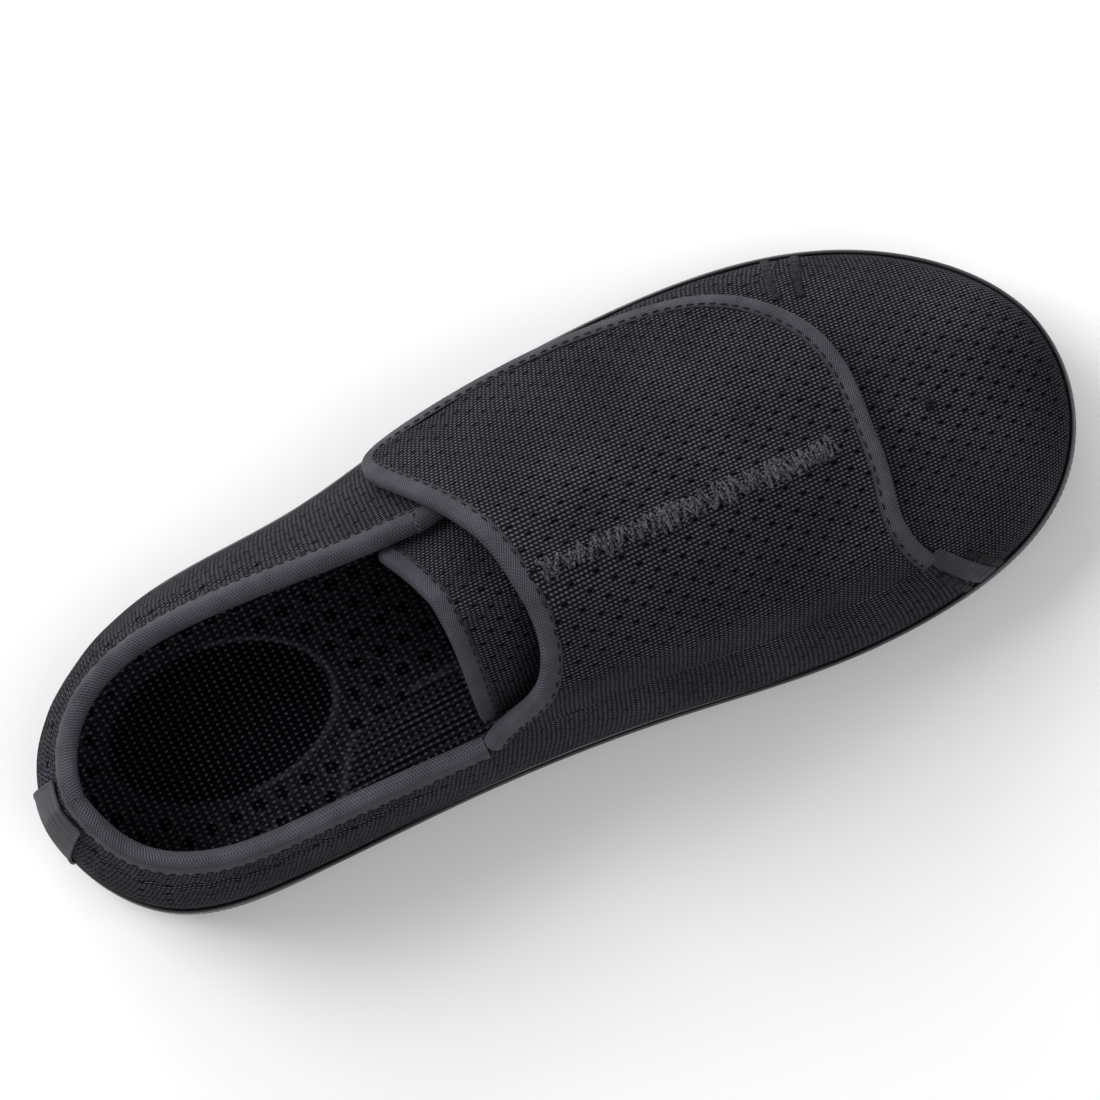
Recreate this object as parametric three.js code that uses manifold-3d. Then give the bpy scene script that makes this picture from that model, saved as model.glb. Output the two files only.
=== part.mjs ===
// A wide-fitting adjustable mesh shoe for the left foot, with a cushioned insole.
// Millimetres, +X towards the toe, +Y towards the outer (lateral) side, +Z up, origin under the middle
// of the tread. Every layer of the upper is a slab at its own depth below one shared last surface.
import * as THREE from "three";
import { mergeVertices } from "three/addons/utils/BufferGeometryUtils.js";
import Module from "manifold-3d";

const wasm = await Module();
wasm.setup();

// ---- driving dimensions --------------------------------------------------------------------------
const lastLength = 292.5; // feather line, heel tip to toe tip
const lastWidth = 110; // feather line at the ball
const featherHeight = 17; // top of the sole's floor, where the upper starts
const instepRise = 89; // ridge of the ankle above the feather line
const centreShift = [2.4, 2]; // brings the middle of the whole shoe over the origin
const toeSpring = 9; // lift of the feather line and tread at the toe tip
const gap = 0.3; // clearance between two pieces that touch
const layerGap = 0.4; // between the layers of a quarter, which curve most at the heel
const meshThick = 1.2;
const foamThick = 1.4;
const vampFoamThick = 0.9;
const puffThick = 0.45; // toe stiffener, thin because the toe curves both ways
const liningThick = 0.6;
const flapFoamThick = 1.0;
const tongueFoamThick = 1.0;
const tapeThick = 0.7; // bias tape
const tapeDepth = 3.2; // how far the tape folds over each side of an edge
const tapeFit = 0.4; // clearance inside the folded tape
const hookThick = 0.7;
const loopThick = 0.7;
const stripLift = 0.5; // clearance under a strip that bridges two panels
const stripThick = 0.6;
const pullTabWidth = 26;
const pullTabThick = 1.1;
const seamGap = 0.5; // between two panels that are sewn edge to edge
const slitGap = 1.2; // between the flap's root and the inner quarter
const soleProud = 2.2; // sole side outside the feather line
const treadThick = 4;
const grooveDepth = 1.6;
const randHeight = 2.4; // narrow strip that covers the joint of sole and upper
const randThick = 1.1;
const randFit = 0.5;
const boardThick = 1.8;
const boardFit = 0.9; // clearance between the board and the lining
const insoleFit = 1.2; // clearance between the insole and the lining
const insoleThick = 5.5;
const insoleCupRise = 9; // heel cup wall above the insole's floor
const insoleArchRise = 5;
const coverThick = 0.8;
const padThick = 2.4;
const padFit = 0.3; // clearance round a pad in its pocket

const quarterStack = meshThick + layerGap + foamThick + layerGap + liningThick;
const flapStack = meshThick + gap + flapFoamThick + gap + liningThick;
const tapeReach = tapeFit + tapeThick; // tape above, below and beyond the stack it binds
// Underside of the closed flap above the last: room for the hook strip on the loop patch, and for the
// flap's tape to pass over the collar's.
const flapLift = Math.max(gap + loopThick + gap + hookThick + gap, tapeReach + gap + tapeReach);
const tongueTop = -quarterStack - tapeReach - gap - tapeReach;

// ---- splines and the last ------------------------------------------------------------------------
// Weights of a uniform cubic B-spline at fraction f of a span.
function weights(f) {
  const cube = f ** 3;
  return [(1 - f) ** 3 / 6, (3 * cube - 6 * f * f + 4) / 6, (-3 * cube + 3 * f * f + 3 * f + 1) / 6, cube / 6];
}

// Closed B-spline: control point i stands at t = i / n.
function closedSpline(points, t) {
  const n = points.length;
  const x = (((t % 1) + 1) % 1) * n;
  const i = Math.floor(x);
  const w = weights(x - i);
  return points[0].map((_, k) => w.reduce((sum, wj, j) => sum + wj * points[(i - 1 + j + n) % n][k], 0));
}

// Open B-spline that starts and ends on its first and last control points, a from 0 to 1.
function openSpline(points, a) {
  const p = points.map((q) => (Array.isArray(q) ? q : [q]));
  const n = p.length;
  const ends = [p[0].map((v, k) => 2 * v - p[1][k]), ...p, p[n - 1].map((v, k) => 2 * v - p[n - 2][k])];
  const x = Math.min(Math.max(a, 0), 1) * (n - 1);
  const i = Math.min(Math.floor(x), n - 2);
  const w = weights(x - i);
  return p[0].map((_, k) => w.reduce((sum, wj, j) => sum + wj * ends[i + j][k], 0));
}

const smooth = (a, b, x) => {
  const f = Math.min(Math.max((x - a) / (b - a), 0), 1);
  return f * f * (3 - 2 * f);
};

// Feather line of the last as shares of its length and width: heel tip, outer side, toe tip, inner side.
const outline = [
  [-0.5265, 0.009], [-0.475, 0.268], [-0.347, 0.427], [-0.183, 0.386], [-0.031, 0.477], [0.171, 0.486], [0.366, 0.4],
  [0.523, 0.014], [0.4615, -0.482], [0.229, -0.55], [0.041, -0.432], [-0.157, -0.377], [-0.366, -0.377],
  [-0.4667, -0.309],
];
// Top ridge of the last from heel to toe: shares of length and width, and of the instep's rise.
const ridge = [
  [-0.345, 0.009, 1], [-0.318, 0.009, 0.978], [-0.26, 0, 0.921], [-0.13, -0.018, 0.843], [0.0376, -0.027, 0.697],
  [0.205, -0.045, 0.483], [0.325, -0.073, 0.371], [0.369, -0.082, 0.337],
];
const ridgeSlope = [-0.1, -0.2, -0.23, -0.23, -0.33, -0.35, -0.26, -0.23]; // fall of the ridge towards the toe
const crownFullness = [0.3, 0.3, 0.3, 0.42, 0.55, 0.55, 0.55, 0.55];
const wallRise = [33, 34, 36, 36, 28, 19, 15, 14];
const bulgeInner = [3.5, 3.5, 5, 3, 2.5];
const bulgeOuter = [3.5, 3.5, 2.5, 2.5, 2.5];
// How far the sole's side stands outside the feather line on the inner side: it tucks under at the waist.
const soleInner = [1, 1, 0.7, 0.1, 0.1, 0.45, 1, 1];

const along = (t) => (t < 0.5 ? 2 * t : 2 - 2 * t); // 0 at the heel tip, 1 at the toe tip, on either side
const wrap = (t) => ((t % 1) + 1) % 1;
const spring = (u) => toeSpring * Math.max(0, (u - 0.62) / 0.38) ** 2;

// Point of the feather line at t and the horizontal direction out of it.
function feather(t) {
  const step = 1e-3;
  const [x, y] = closedSpline(outline, t);
  const [xa, ya] = closedSpline(outline, t - step);
  const [xb, yb] = closedSpline(outline, t + step);
  const out = new THREE.Vector3(-(yb - ya) * lastWidth, (xb - xa) * lastLength, 0).normalize();
  const height = featherHeight + spring(along(wrap(t)));
  return { at: new THREE.Vector3(x * lastLength + centreShift[0], y * lastWidth + centreShift[1], height), out };
}

// The last: t runs round the feather line, s from the feather line (0) up to the ridge (1).
function lastPoint(t, s) {
  const round = wrap(t);
  const u = along(round);
  const { at, out } = feather(round);
  const [rx, ry, rz] = openSpline(ridge, u);
  const top = new THREE.Vector3(
    rx * lastLength + centreShift[0], ry * lastWidth + centreShift[1], featherHeight + rz * instepRise,
  );
  const bulge = openSpline(round < 0.5 ? bulgeOuter : bulgeInner, u)[0];
  const wall = at.clone().addScaledVector(out, bulge);
  wall.z += openSpline(wallRise, u)[0];
  // Between heel and toe the lines leave the ridge square to it.
  const ahead = (at.x - top.x) * (1 - smooth(0.3, 0.45, u) * (1 - smooth(0.84, 1, u)));
  const crown = new THREE.Vector3(ahead, at.y - top.y, openSpline(ridgeSlope, u)[0] * ahead);
  crown.multiplyScalar(openSpline(crownFullness, u)[0]).add(top);
  return new THREE.Vector3()
    .addScaledVector(at, (1 - s) ** 3)
    .addScaledVector(wall, 3 * (1 - s) ** 2 * s)
    .addScaledVector(crown, 3 * (1 - s) * s * s)
    .addScaledVector(top, s ** 3);
}

// Outward normal of the last at (t, s), taken a little below the ridge where the two sides meet.
function lastNormal(t, s) {
  const e = 2e-3;
  const sc = Math.min(Math.max(s, e), 0.976);
  const dt = lastPoint(t + e, sc).sub(lastPoint(t - e, sc));
  return lastPoint(t, sc + e).sub(lastPoint(t, sc - e)).cross(dt).normalize();
}

// Chart round the shoe: p is t, which may pass through 0 at the heel, and q is s.
const roundChart = (p, q, depth) => lastPoint(p, q).addScaledVector(lastNormal(p, q), depth);

// Chart across the shoe: p is the place along it, and q runs from the inner feather line (0) over the
// ridge (0.5) to the outer one (1). The normals of the two sides are blended close to the ridge.
function acrossChart(p, q, depth) {
  const inner = q < 0.5;
  const s = inner ? 2 * q : 2 - 2 * q;
  const near = lastNormal(inner ? 1 - p / 2 : p / 2, s);
  const far = lastNormal(inner ? p / 2 : 1 - p / 2, s);
  const share = 0.5 * smooth(0.84, 1, s);
  const normal = near.multiplyScalar(1 - share).addScaledVector(far, share).normalize();
  return lastPoint(inner ? 1 - p / 2 : p / 2, s).addScaledVector(normal, depth);
}

// ---- solids --------------------------------------------------------------------------------------
// A closed geometry from rows of quads. Shared corners are merged, and the faces are turned to point out.
function closedMesh(quads) {
  const triangles = [];
  for (const [a, b, c, d] of quads) triangles.push(a, b, c, a, c, d);
  let flat = new Float32Array(triangles.flatMap((v) => [v.x, v.y, v.z]));
  const volume = signedVolume(flat);
  if (volume < 0) {
    const turned = [];
    for (let i = 0; i < triangles.length; i += 3) {
      turned.push(triangles[i], triangles[i + 2], triangles[i + 1]);
    }
    flat = new Float32Array(turned.flatMap((v) => [v.x, v.y, v.z]));
  }
  const loose = new THREE.BufferGeometry().setAttribute("position", new THREE.BufferAttribute(flat, 3));
  const merged = mergeVertices(loose, 1e-3);
  const keep = [];
  const index = merged.index.array;
  for (let i = 0; i < index.length; i += 3) {
    const [a, b, c] = [index[i], index[i + 1], index[i + 2]];
    if (a !== b && b !== c && a !== c) keep.push(a, b, c);
  }
  merged.setIndex(keep);
  merged.computeVertexNormals();
  return merged;
}

function signedVolume(flat) {
  let sum = 0;
  for (let i = 0; i < flat.length; i += 9) {
    const [ax, ay, az, bx, by, bz, cx, cy, cz] = flat.subarray(i, i + 9);
    sum += ax * (by * cz - bz * cy) - ay * (bx * cz - bz * cx) + az * (bx * cy - by * cx);
  }
  return sum / 6;
}

// Quads between two grids of points and round their open borders. closedEnd leaves out the wall at the
// last row, where the two halves of that row meet.
function slabMesh(low, high, closedEnd = false) {
  const rows = low.length - 1;
  const columns = low[0].length - 1;
  const quads = [];
  for (let i = 0; i < rows; i++)
    for (let j = 0; j < columns; j++) {
      quads.push([high[i][j], high[i + 1][j], high[i + 1][j + 1], high[i][j + 1]]);
      quads.push([low[i][j], low[i][j + 1], low[i + 1][j + 1], low[i + 1][j]]);
    }
  for (let i = 0; i < rows; i++) {
    quads.push([low[i][0], low[i + 1][0], high[i + 1][0], high[i][0]]);
    quads.push([low[i + 1][columns], low[i][columns], high[i][columns], high[i + 1][columns]]);
  }
  for (let j = 0; j < columns; j++) {
    quads.push([low[0][j + 1], low[0][j], high[0][j], high[0][j + 1]]);
    if (!closedEnd) quads.push([low[rows][j], low[rows][j + 1], high[rows][j + 1], high[rows][j]]);
  }
  return closedMesh(quads);
}

const range = (n) => Array.from({ length: n + 1 }, (_, i) => i / n);

// A layer of cloth or foam: domain(a, b) gives chart coordinates, and its faces lie at depths low and high.
function layer({ chart, domain, rows, columns, low, high, closedEnd }) {
  const depth = (value, p, q) => (typeof value === "function" ? value(p, q) : value);
  const grid = (value) =>
    range(rows).map((a) =>
      range(columns).map((b) => {
        const [p, q] = domain(a, b);
        return chart(p, q, depth(value, p, q));
      }),
    );
  return slabMesh(grid(low), grid(high), closedEnd);
}

// Chart coordinates a distance inward from an edge point, at right angles to the edge, over the surface.
function stepIn(chart, edge, a, toward, distance) {
  const e = 1e-3;
  const [p, q] = edge(a);
  const [pa, qa] = edge(Math.max(a - e, 0));
  const [pb, qb] = edge(Math.min(a + e, 1));
  const here = chart(p, q, 0);
  const dp = chart(p + e, q, 0).sub(here).divideScalar(e);
  const dq = chart(p, q + e, 0).sub(here).divideScalar(e);
  const tangent = chart(pb, qb, 0).sub(chart(pa, qa, 0)).normalize();
  const normal = dp.clone().cross(dq).normalize();
  const side = normal.cross(tangent).normalize();
  const [pi, qi] = toward(a);
  if (side.dot(chart(pi, qi, 0).sub(here)) < 0) side.negate();
  const [pp, pq, qq] = [dp.dot(dp), dp.dot(dq), dq.dot(dq)];
  const [x, y] = [side.dot(dp) * distance, side.dot(dq) * distance];
  const det = pp * qq - pq * pq;
  return [p + (x * qq - y * pq) / det, q + (y * pp - x * pq) / det];
}

// Bias tape folded over an edge: a U section round a stack that lies between depths low and high.
function binding({ chart, edge, toward, steps, low, high }) {
  const sections = range(steps).map((a) => {
    const corner = (distance, face, lift) => {
      const [p, q] = stepIn(chart, edge, a, toward, distance);
      return chart(p, q, (typeof face === "function" ? face(p, q) : face) + lift);
    };
    return [
      corner(tapeDepth, high, tapeReach), corner(-tapeReach, high, tapeReach),
      corner(-tapeReach, low, -tapeReach), corner(tapeDepth, low, -tapeReach),
      corner(tapeDepth, low, -tapeFit), corner(-tapeFit, low, -tapeFit),
      corner(-tapeFit, high, tapeFit), corner(tapeDepth, high, tapeFit),
    ];
  });
  return sweptMesh(sections);
}

// A closed solid through equal rings of points, with its two ends capped. The rings are U or convex.
function sweptMesh(rings) {
  const count = rings[0].length;
  const quads = [];
  for (let i = 0; i + 1 < rings.length; i++)
    for (let j = 0; j < count; j++) {
      const k = (j + 1) % count;
      quads.push([rings[i][j], rings[i][k], rings[i + 1][k], rings[i + 1][j]]);
    }
  for (const [ring, turn] of [[rings[0], true], [rings[rings.length - 1], false]])
    for (const cap of capQuads(ring)) quads.push(turn ? [...cap].reverse() : cap);
  return closedMesh(quads);
}

// A U ring of eight points caps as three quads, and a ring of four as one.
function capQuads(r) {
  return r.length === 8
    ? [[r[0], r[1], r[6], r[7]], [r[1], r[2], r[5], r[6]], [r[2], r[3], r[4], r[5]]]
    : [[r[0], r[1], r[2], r[3]]];
}

// A four-sided patch of chart coordinates inside four edge curves that share their corners.
function coons(start, end, first, last) {
  return (a, b) => {
    const blend = (k) =>
      (1 - b) * start(a)[k] + b * end(a)[k] + (1 - a) * first(b)[k] + a * last(b)[k] -
      ((1 - a) * (1 - b) * start(0)[k] + a * (1 - b) * start(1)[k] +
        (1 - a) * b * end(0)[k] + a * b * end(1)[k]);
    return [blend(0), blend(1)];
  };
}

// ---- edges of the panels, in chart coordinates ---------------------------------------------------
const perLength = 1 / lastLength; // share of the chart along the shoe in one millimetre
const perGirth = 1 / (1.35 * lastWidth); // share of the chart across the shoe in one millimetre
const outerSeam = 0.822; // where the outer quarter meets the vamp, at the feather line
const innerSeam = 0.785;
const throatEnd = 0.71; // front of the foot opening
const throatTurn = 0.49; // where the outer collar turns forward under the flap
const hingeRear = 0.455; // rear end of the flap's root

// Height s of the collar line against u, on the outer and the inner side of the shoe.
const collarOuter = [0.472, 0.464, 0.432, 0.4, 0.41, 0.45, 0.49, 0.535, 0.6, 0.655];
const collarInner = [0.472, 0.46, 0.424, 0.405, 0.39, 0.365, 0.36, 0.372, 0.365, 0.37];
const throatHeight = 0.66;
const rootHeight = [0.37, 0.4, 0.425, 0.435, 0.43, 0.42]; // height s of the flap's root, rear to front

// Upper edge of the quarters at t, from under the flap round the heel to the front end of the root.
function quarterTop(t) {
  const u = 2 * Math.abs(t);
  if (t >= 0) return u < throatTurn ? openSpline(collarOuter, u / throatTurn)[0] : throatHeight;
  if (u < hingeRear) return openSpline(collarInner, u / hingeRear)[0];
  return openSpline(rootHeight, (u - hingeRear) / (innerSeam - hingeRear))[0];
}

// Front edge of the outer quarter at share b of its height: it sweeps from the throat to the sole.
const outerFront = (b) => outerSeam + (throatEnd - outerSeam) * smooth(0.3, 1, b);

// Whole flap edge in the chart across the shoe: rear edge, outer edge and front edge, with round corners.
const slitShare = 0.8 * slitGap * perGirth;
const flapOutline = [
  [0.455, 0.185 + slitShare], [0.481, 0.25], [0.508, 0.306], [0.52, 0.369], [0.523, 0.431], [0.52, 0.5],
  [0.518, 0.562], [0.51, 0.625], [0.5, 0.69], [0.491, 0.75], [0.489, 0.8], [0.503, 0.83], [0.535, 0.835],
  [0.575, 0.83], [0.615, 0.827], [0.655, 0.823], [0.692, 0.812], [0.724, 0.803], [0.755, 0.788], [0.783, 0.757],
  [0.805, 0.72], [0.828, 0.68], [0.847, 0.63], [0.856, 0.58], [0.858, 0.53], [0.85, 0.463], [0.828, 0.4],
  [0.798, 0.344], [0.787, 0.281], [innerSeam, 0.21 + slitShare],
];
const rearShare = 11 / 29;
const frontShare = 19 / 29;
const flapEdge = (w) => openSpline(flapOutline, w);
const flapRoot = (a) => {
  const u = hingeRear + a * (innerSeam - hingeRear);
  return [u, quarterTop(-u / 2) / 2 + slitShare];
};
const flapDomain = coons(
  flapRoot,
  (a) => flapEdge(rearShare + a * (frontShare - rearShare)),
  (b) => flapEdge(b * rearShare),
  (b) => flapEdge(1 - b * (1 - frontShare)),
);
// The flap leaves its root flush with the quarter and rises over the vamp and the outer quarter.
const flapFace = (height) => (p, q) => height - flapStack + (flapLift + flapStack) * smooth(0.2, 0.315, q);

const tongueRearLine = [
  [0.461, 0.205], [0.462, 0.27], [0.465, 0.36], [0.467, 0.45], [0.467, 0.54], [0.464, 0.61], [0.46, 0.668],
];
const tongueRear = (b) => openSpline(tongueRearLine, b);
const tongueFront = 0.69;
const tongueFrontInner = 0.25;
const tongueFrontOuter = 0.64;
const tongueSide = (rear, frontHeight) => (a) =>
  [rear[0] + a * (tongueFront - rear[0]), rear[1] + a * (frontHeight - rear[1])];
const tongueDomain = coons(
  tongueSide(tongueRearLine[0], tongueFrontInner),
  tongueSide(tongueRearLine[tongueRearLine.length - 1], tongueFrontOuter),
  tongueRear,
  (b) => [tongueFront, tongueFrontInner + b * (tongueFrontOuter - tongueFrontInner)],
);

// Rear edge of the vamp across the shoe: seams at both sides, and the front of the foot opening between.
function vampRear(q) {
  if (q > 0.5) return outerFront(Math.min((2 - 2 * q) / throatHeight, 1)) + 2 * seamGap * perLength;
  const side = innerSeam + seamGap * perLength + 0.0075 * smooth(0.165, 0.19, q);
  return side + (throatEnd + seamGap * perLength - side) * smooth(0.36, 0.46, q);
}

// ---- panels --------------------------------------------------------------------------------------
const low = 0.012; // panels start a little above the sole's floor
const meshLow = -meshThick;
const foamHigh = meshLow - layerGap;
const foamLow = foamHigh - foamThick;
const liningHigh = foamLow - layerGap;
const liningLow = liningHigh - liningThick;
const spread = (a) => a ** 1.35;

// Domain of a quarter panel, from rear millimetres off the heel's centre line to its front seam.
// side is 1 outer, -1 inner.
const quarterDomain = (side, rear) => (a, b) => {
  const front = side > 0 ? outerFront(b) : innerSeam;
  const u = rear * perLength + spread(a) * (front - rear * perLength);
  const t = (side * u) / 2;
  return [t, low + b * (quarterTop(t) - low)];
};

// Foam of a quarter, forward of the heel zone.
const heelZone = 0.24;
const quarterFoamDomain = (side) => (a, b) => {
  const front = (side > 0 ? outerFront(b) : innerSeam) - 0.006;
  const u = heelZone + a * (front - heelZone);
  const t = (side * u) / 2;
  return [t, 0.03 + b * (quarterTop(t) - 0.04)];
};
const heelDomain = (from, to) => (a, b) => {
  const t = (a - 0.5) * (heelZone - 0.01);
  return [t, from + b * (to(t) - from)];
};

function quarter(side, high, bottom, rear) {
  const domain = quarterDomain(side, rear);
  return layer({ chart: roundChart, domain, rows: 20, columns: 6, low: bottom, high });
}

function vampPanel(from, to, high, bottom, rows) {
  const domain = (a, b) => {
    const rear = Math.max(vampRear(b), from);
    const reach = rear + (to - rear) * (1 - (1 - a) ** 1.3);
    return [reach, b];
  };
  const squeeze = (a, b) => domain(a, low / 2 + b * (1 - low));
  const closedEnd = to === 1;
  return layer({ chart: acrossChart, domain: squeeze, rows, columns: 18, low: bottom, high, closedEnd });
}

const flapLayer = (domain, high, bottom, rows = 16, columns = 18) =>
  layer({ chart: acrossChart, domain, rows, columns, low: flapFace(bottom), high: flapFace(high) });

const tongueLayer = (high, bottom) =>
  layer({
    chart: acrossChart, domain: tongueDomain, rows: 7, columns: 10,
    low: tongueTop + bottom, high: tongueTop + high,
  });

// A flat strip on the panels, given by a rectangle of chart coordinates.
const strip = (chart, p0, p1, q0, q1, rows, columns, bottom, high) => {
  const domain = (a, b) => [p0 + a * (p1 - p0), q0 + b * (q1 - q0)];
  return layer({ chart, domain, rows, columns, low: bottom, high });
};

// ---- sole and insole -----------------------------------------------------------------------------
// Ring round the sole, a distance out of the feather line and a height above the ground plane.
function soleRing(count, out, height) {
  return range(count).slice(0, -1).map((t) => {
    const { at, out: dir } = feather(t);
    const u = along(t);
    const share = out > 0 && t > 0.5 ? openSpline(soleInner, u)[0] : 1;
    return new THREE.Vector3(at.x, at.y, height + spring(u)).addScaledVector(dir, out * share);
  });
}

// Grid over the floor inside a ring, in rows from its outer to its inner side. The columns are closer
// together near the sides. lift(u, c) raises the point at share c of a row.
function floorGrid(ring, columns, lift = () => 0) {
  const half = ring.length / 2;
  return Array.from({ length: half + 1 }, (_, i) =>
    range(columns).map((x) => {
      const c = (1 - Math.cos(Math.PI * x)) / 2;
      const point = ring[i].clone().lerp(ring[(ring.length - i) % ring.length], c);
      point.z += lift(i / half, c);
      return point;
    }),
  );
}

// A plate between two rings that lie one above the other.
const plate = (under, over, columns = 4) => slabMesh(floorGrid(under, columns), floorGrid(over, columns));

// A solid with a stack of rings as its side and a floor in the first and the last ring.
function ringSolid(rings, columns = 4) {
  const quads = [];
  const floors = [rings[0], rings[rings.length - 1]].map((ring) => floorGrid(ring, columns));
  for (const [k, grid] of floors.entries())
    for (let i = 0; i + 1 < grid.length; i++)
      for (let j = 0; j < columns; j++) {
        const quad = [grid[i][j], grid[i + 1][j], grid[i + 1][j + 1], grid[i][j + 1]];
        quads.push(k ? quad.reverse() : quad);
      }
  for (let r = 0; r + 1 < rings.length; r++)
    rings[r].forEach((_, i) => {
      const k = (i + 1) % rings[r].length;
      quads.push([rings[r][k], rings[r][i], rings[r + 1][i], rings[r + 1][k]]);
    });
  return closedMesh(quads);
}

// A closed band of four-cornered section round the whole shoe.
function bandMesh(sections) {
  const quads = [];
  sections.forEach((ring, i) => {
    const next = sections[(i + 1) % sections.length];
    ring.forEach((_, j) => {
      const k = (j + 1) % ring.length;
      quads.push([ring[j], ring[k], next[k], next[j]]);
    });
  });
  return closedMesh(quads);
}

// Solid cut by others, through the solid modeller.
function cutMesh(body, tools) {
  const solid = (geometry) => {
    const clean = geometry.clone();
    for (const name of ["normal", "uv"]) clean.deleteAttribute(name);
    const merged = mergeVertices(clean, 1e-4);
    const vertProperties = new Float32Array(merged.attributes.position.array);
    const triVerts = new Uint32Array(merged.index.array);
    return new wasm.Manifold(new wasm.Mesh({ numProp: 3, vertProperties, triVerts }));
  };
  let result = solid(body);
  for (const tool of tools) result = result.subtract(solid(tool));
  const mesh = result.getMesh();
  const geometry = new THREE.BufferGeometry();
  geometry.setAttribute("position", new THREE.BufferAttribute(new Float32Array(mesh.vertProperties), 3));
  geometry.setIndex([...mesh.triVerts]);
  geometry.computeVertexNormals();
  return geometry;
}

// Upright oval plug, for a pad and for its pocket.
function oval(x, y, rx, ry, turn, z, height) {
  const shape = new THREE.CylinderGeometry(1, 1, height, 28);
  shape.rotateX(Math.PI / 2).scale(rx, ry, 1).rotateZ(turn).translate(x, y, z + height / 2);
  return shape;
}

function outsole() {
  const count = 60;
  const body = ringSolid([soleRing(count, soleProud * 0.5, 0), soleRing(count, soleProud * 0.9, treadThick)]);
  const grooves = [];
  for (let x = -0.42; x < 0.12; x += 0.043) {
    if (Math.abs(x + 0.13) < 0.06) continue;
    const box = new THREE.BoxGeometry(3, 0.5 * lastWidth, 2 * grooveDepth);
    grooves.push(box.rotateZ(0.12).translate(x * lastLength, 0, 0));
  }
  return cutMesh(body, grooves);
}

function midsole() {
  const count = 60;
  const ring = (out, height) => soleRing(count, soleProud * out, height);
  return ringSolid([ring(0.85, treadThick + gap), ring(1, 8), ring(0.8, featherHeight - gap)]);
}

function rand() {
  const base = featherHeight;
  const sections = range(60).slice(0, -1).map((t) => {
    const { at, out } = feather(t);
    const corner = (distance, height) =>
      new THREE.Vector3(at.x, at.y, base + spring(along(t)) + height).addScaledVector(out, distance);
    const lean = lastPoint(t, 0.08);
    const slope = lean.clone().sub(at).dot(out) / (lean.z - at.z);
    const foot = randFit;
    const head = randFit + Math.max(slope, 0) * randHeight;
    return [
      corner(foot, 0), corner(foot + randThick, 0),
      corner(head + 0.7 * randThick, randHeight), corner(head, randHeight),
    ];
  });
  return bandMesh(sections);
}

const boardTop = featherHeight + gap + boardThick;
const insoleFloor = boardTop + gap;
const board = () =>
  plate(
    soleRing(48, -quarterStack - boardFit, featherHeight + gap),
    soleRing(48, -quarterStack - boardFit, boardTop),
  );

// Rise of the insole's upper face at u and share c across: a cup round the heel and a roll at the arch.
function insoleRise(u, c) {
  const side = Math.abs(2 * c - 1);
  const heelEdge = (1 - smooth(0.14, 0.42, u)) * smooth(0.55, 1, Math.max(side, 1 - u / 0.07));
  const arch = smooth(0.2, 0.38, u) * (1 - smooth(0.5, 0.66, u)) * smooth(0.55, 1, c);
  return insoleCupRise * heelEdge + insoleArchRise * arch;
}

const insoleTop = insoleFloor + insoleThick + gap + coverThick;

// Ring of the insole at a height. It stays clear of the lining up to the insole's top all round.
function insoleRing(height) {
  return range(52).slice(0, -1).map((t) => {
    const { at, out } = feather(t);
    const highest = insoleTop + spring(along(t)) + insoleRise(along(t), 0);
    let inset = 0;
    for (let s = 0; s < 0.6; s += 0.02) {
      const inner = roundChart(t, s, -quarterStack - insoleFit);
      if (inner.z < highest) inset = Math.max(inset, -inner.sub(at).dot(out));
    }
    return new THREE.Vector3(at.x, at.y, height + spring(along(t))).addScaledVector(out, -inset);
  });
}

const pads = {
  heel: [-0.367 * lastLength, 0.018 * lastWidth, 27, 21, 0],
  arch: [-0.092 * lastLength, -0.122 * lastWidth, 32, 13, 0.05],
  forefoot: [0.178 * lastLength, -0.012 * lastWidth, 24, 34, 0.12],
};
const padFloor = insoleFloor + insoleThick - gap - padThick;
const pad = ([x, y, rx, ry, turn]) => oval(x, y, rx, ry, turn, padFloor, padThick);
const pocket = ([x, y, rx, ry, turn]) =>
  oval(x, y, rx + padFit, ry + padFit, turn, padFloor - gap, padThick + gap + insoleCupRise);

function insoleBase() {
  const body = slabMesh(
    floorGrid(insoleRing(insoleFloor), 10),
    floorGrid(insoleRing(insoleFloor + insoleThick), 10, insoleRise),
  );
  return cutMesh(body, Object.values(pads).map(pocket));
}

const insoleCover = () =>
  slabMesh(
    floorGrid(insoleRing(insoleFloor + insoleThick + gap), 10, insoleRise),
    floorGrid(insoleRing(insoleFloor + insoleThick + gap + coverThick), 10, insoleRise),
  );

// ---- assembly ------------------------------------------------------------------------------------
const group = new THREE.Group();
group.name = "adjustable_mesh_shoe_left";

function add(name, geometry, color, roughness) {
  const mesh = new THREE.Mesh(geometry, new THREE.MeshStandardMaterial({ color, roughness }));
  mesh.name = name;
  group.add(mesh);
}

const meshColor = 0x1c1d20;
const tapeColor = 0x2a2c31;
const foamColor = 0x3a3a3c;
const liningColor = 0x151517;
const rubberColor = 0x0d0d0e;
const stiffenerColor = 0xb0a890;
const hookColor = 0x101012;
const loopColor = 0x202024;

add("outsole", outsole(), rubberColor, 0.6);
add("midsole", midsole(), rubberColor, 0.45);
add("sole_rand", rand(), rubberColor, 0.3);
add("lasting_board", board(), 0x8a7a62, 0.9);
add("insole_base", insoleBase(), 0x2b2d33, 0.9);
add("insole_heel_pad", pad(pads.heel), 0x4a5a6a, 0.6);
add("insole_arch_pad", pad(pads.arch), 0x4a5a6a, 0.6);
add("insole_forefoot_pad", pad(pads.forefoot), 0x4a5a6a, 0.6);
add("insole_cover", insoleCover(), 0x141416, 0.9);

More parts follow.
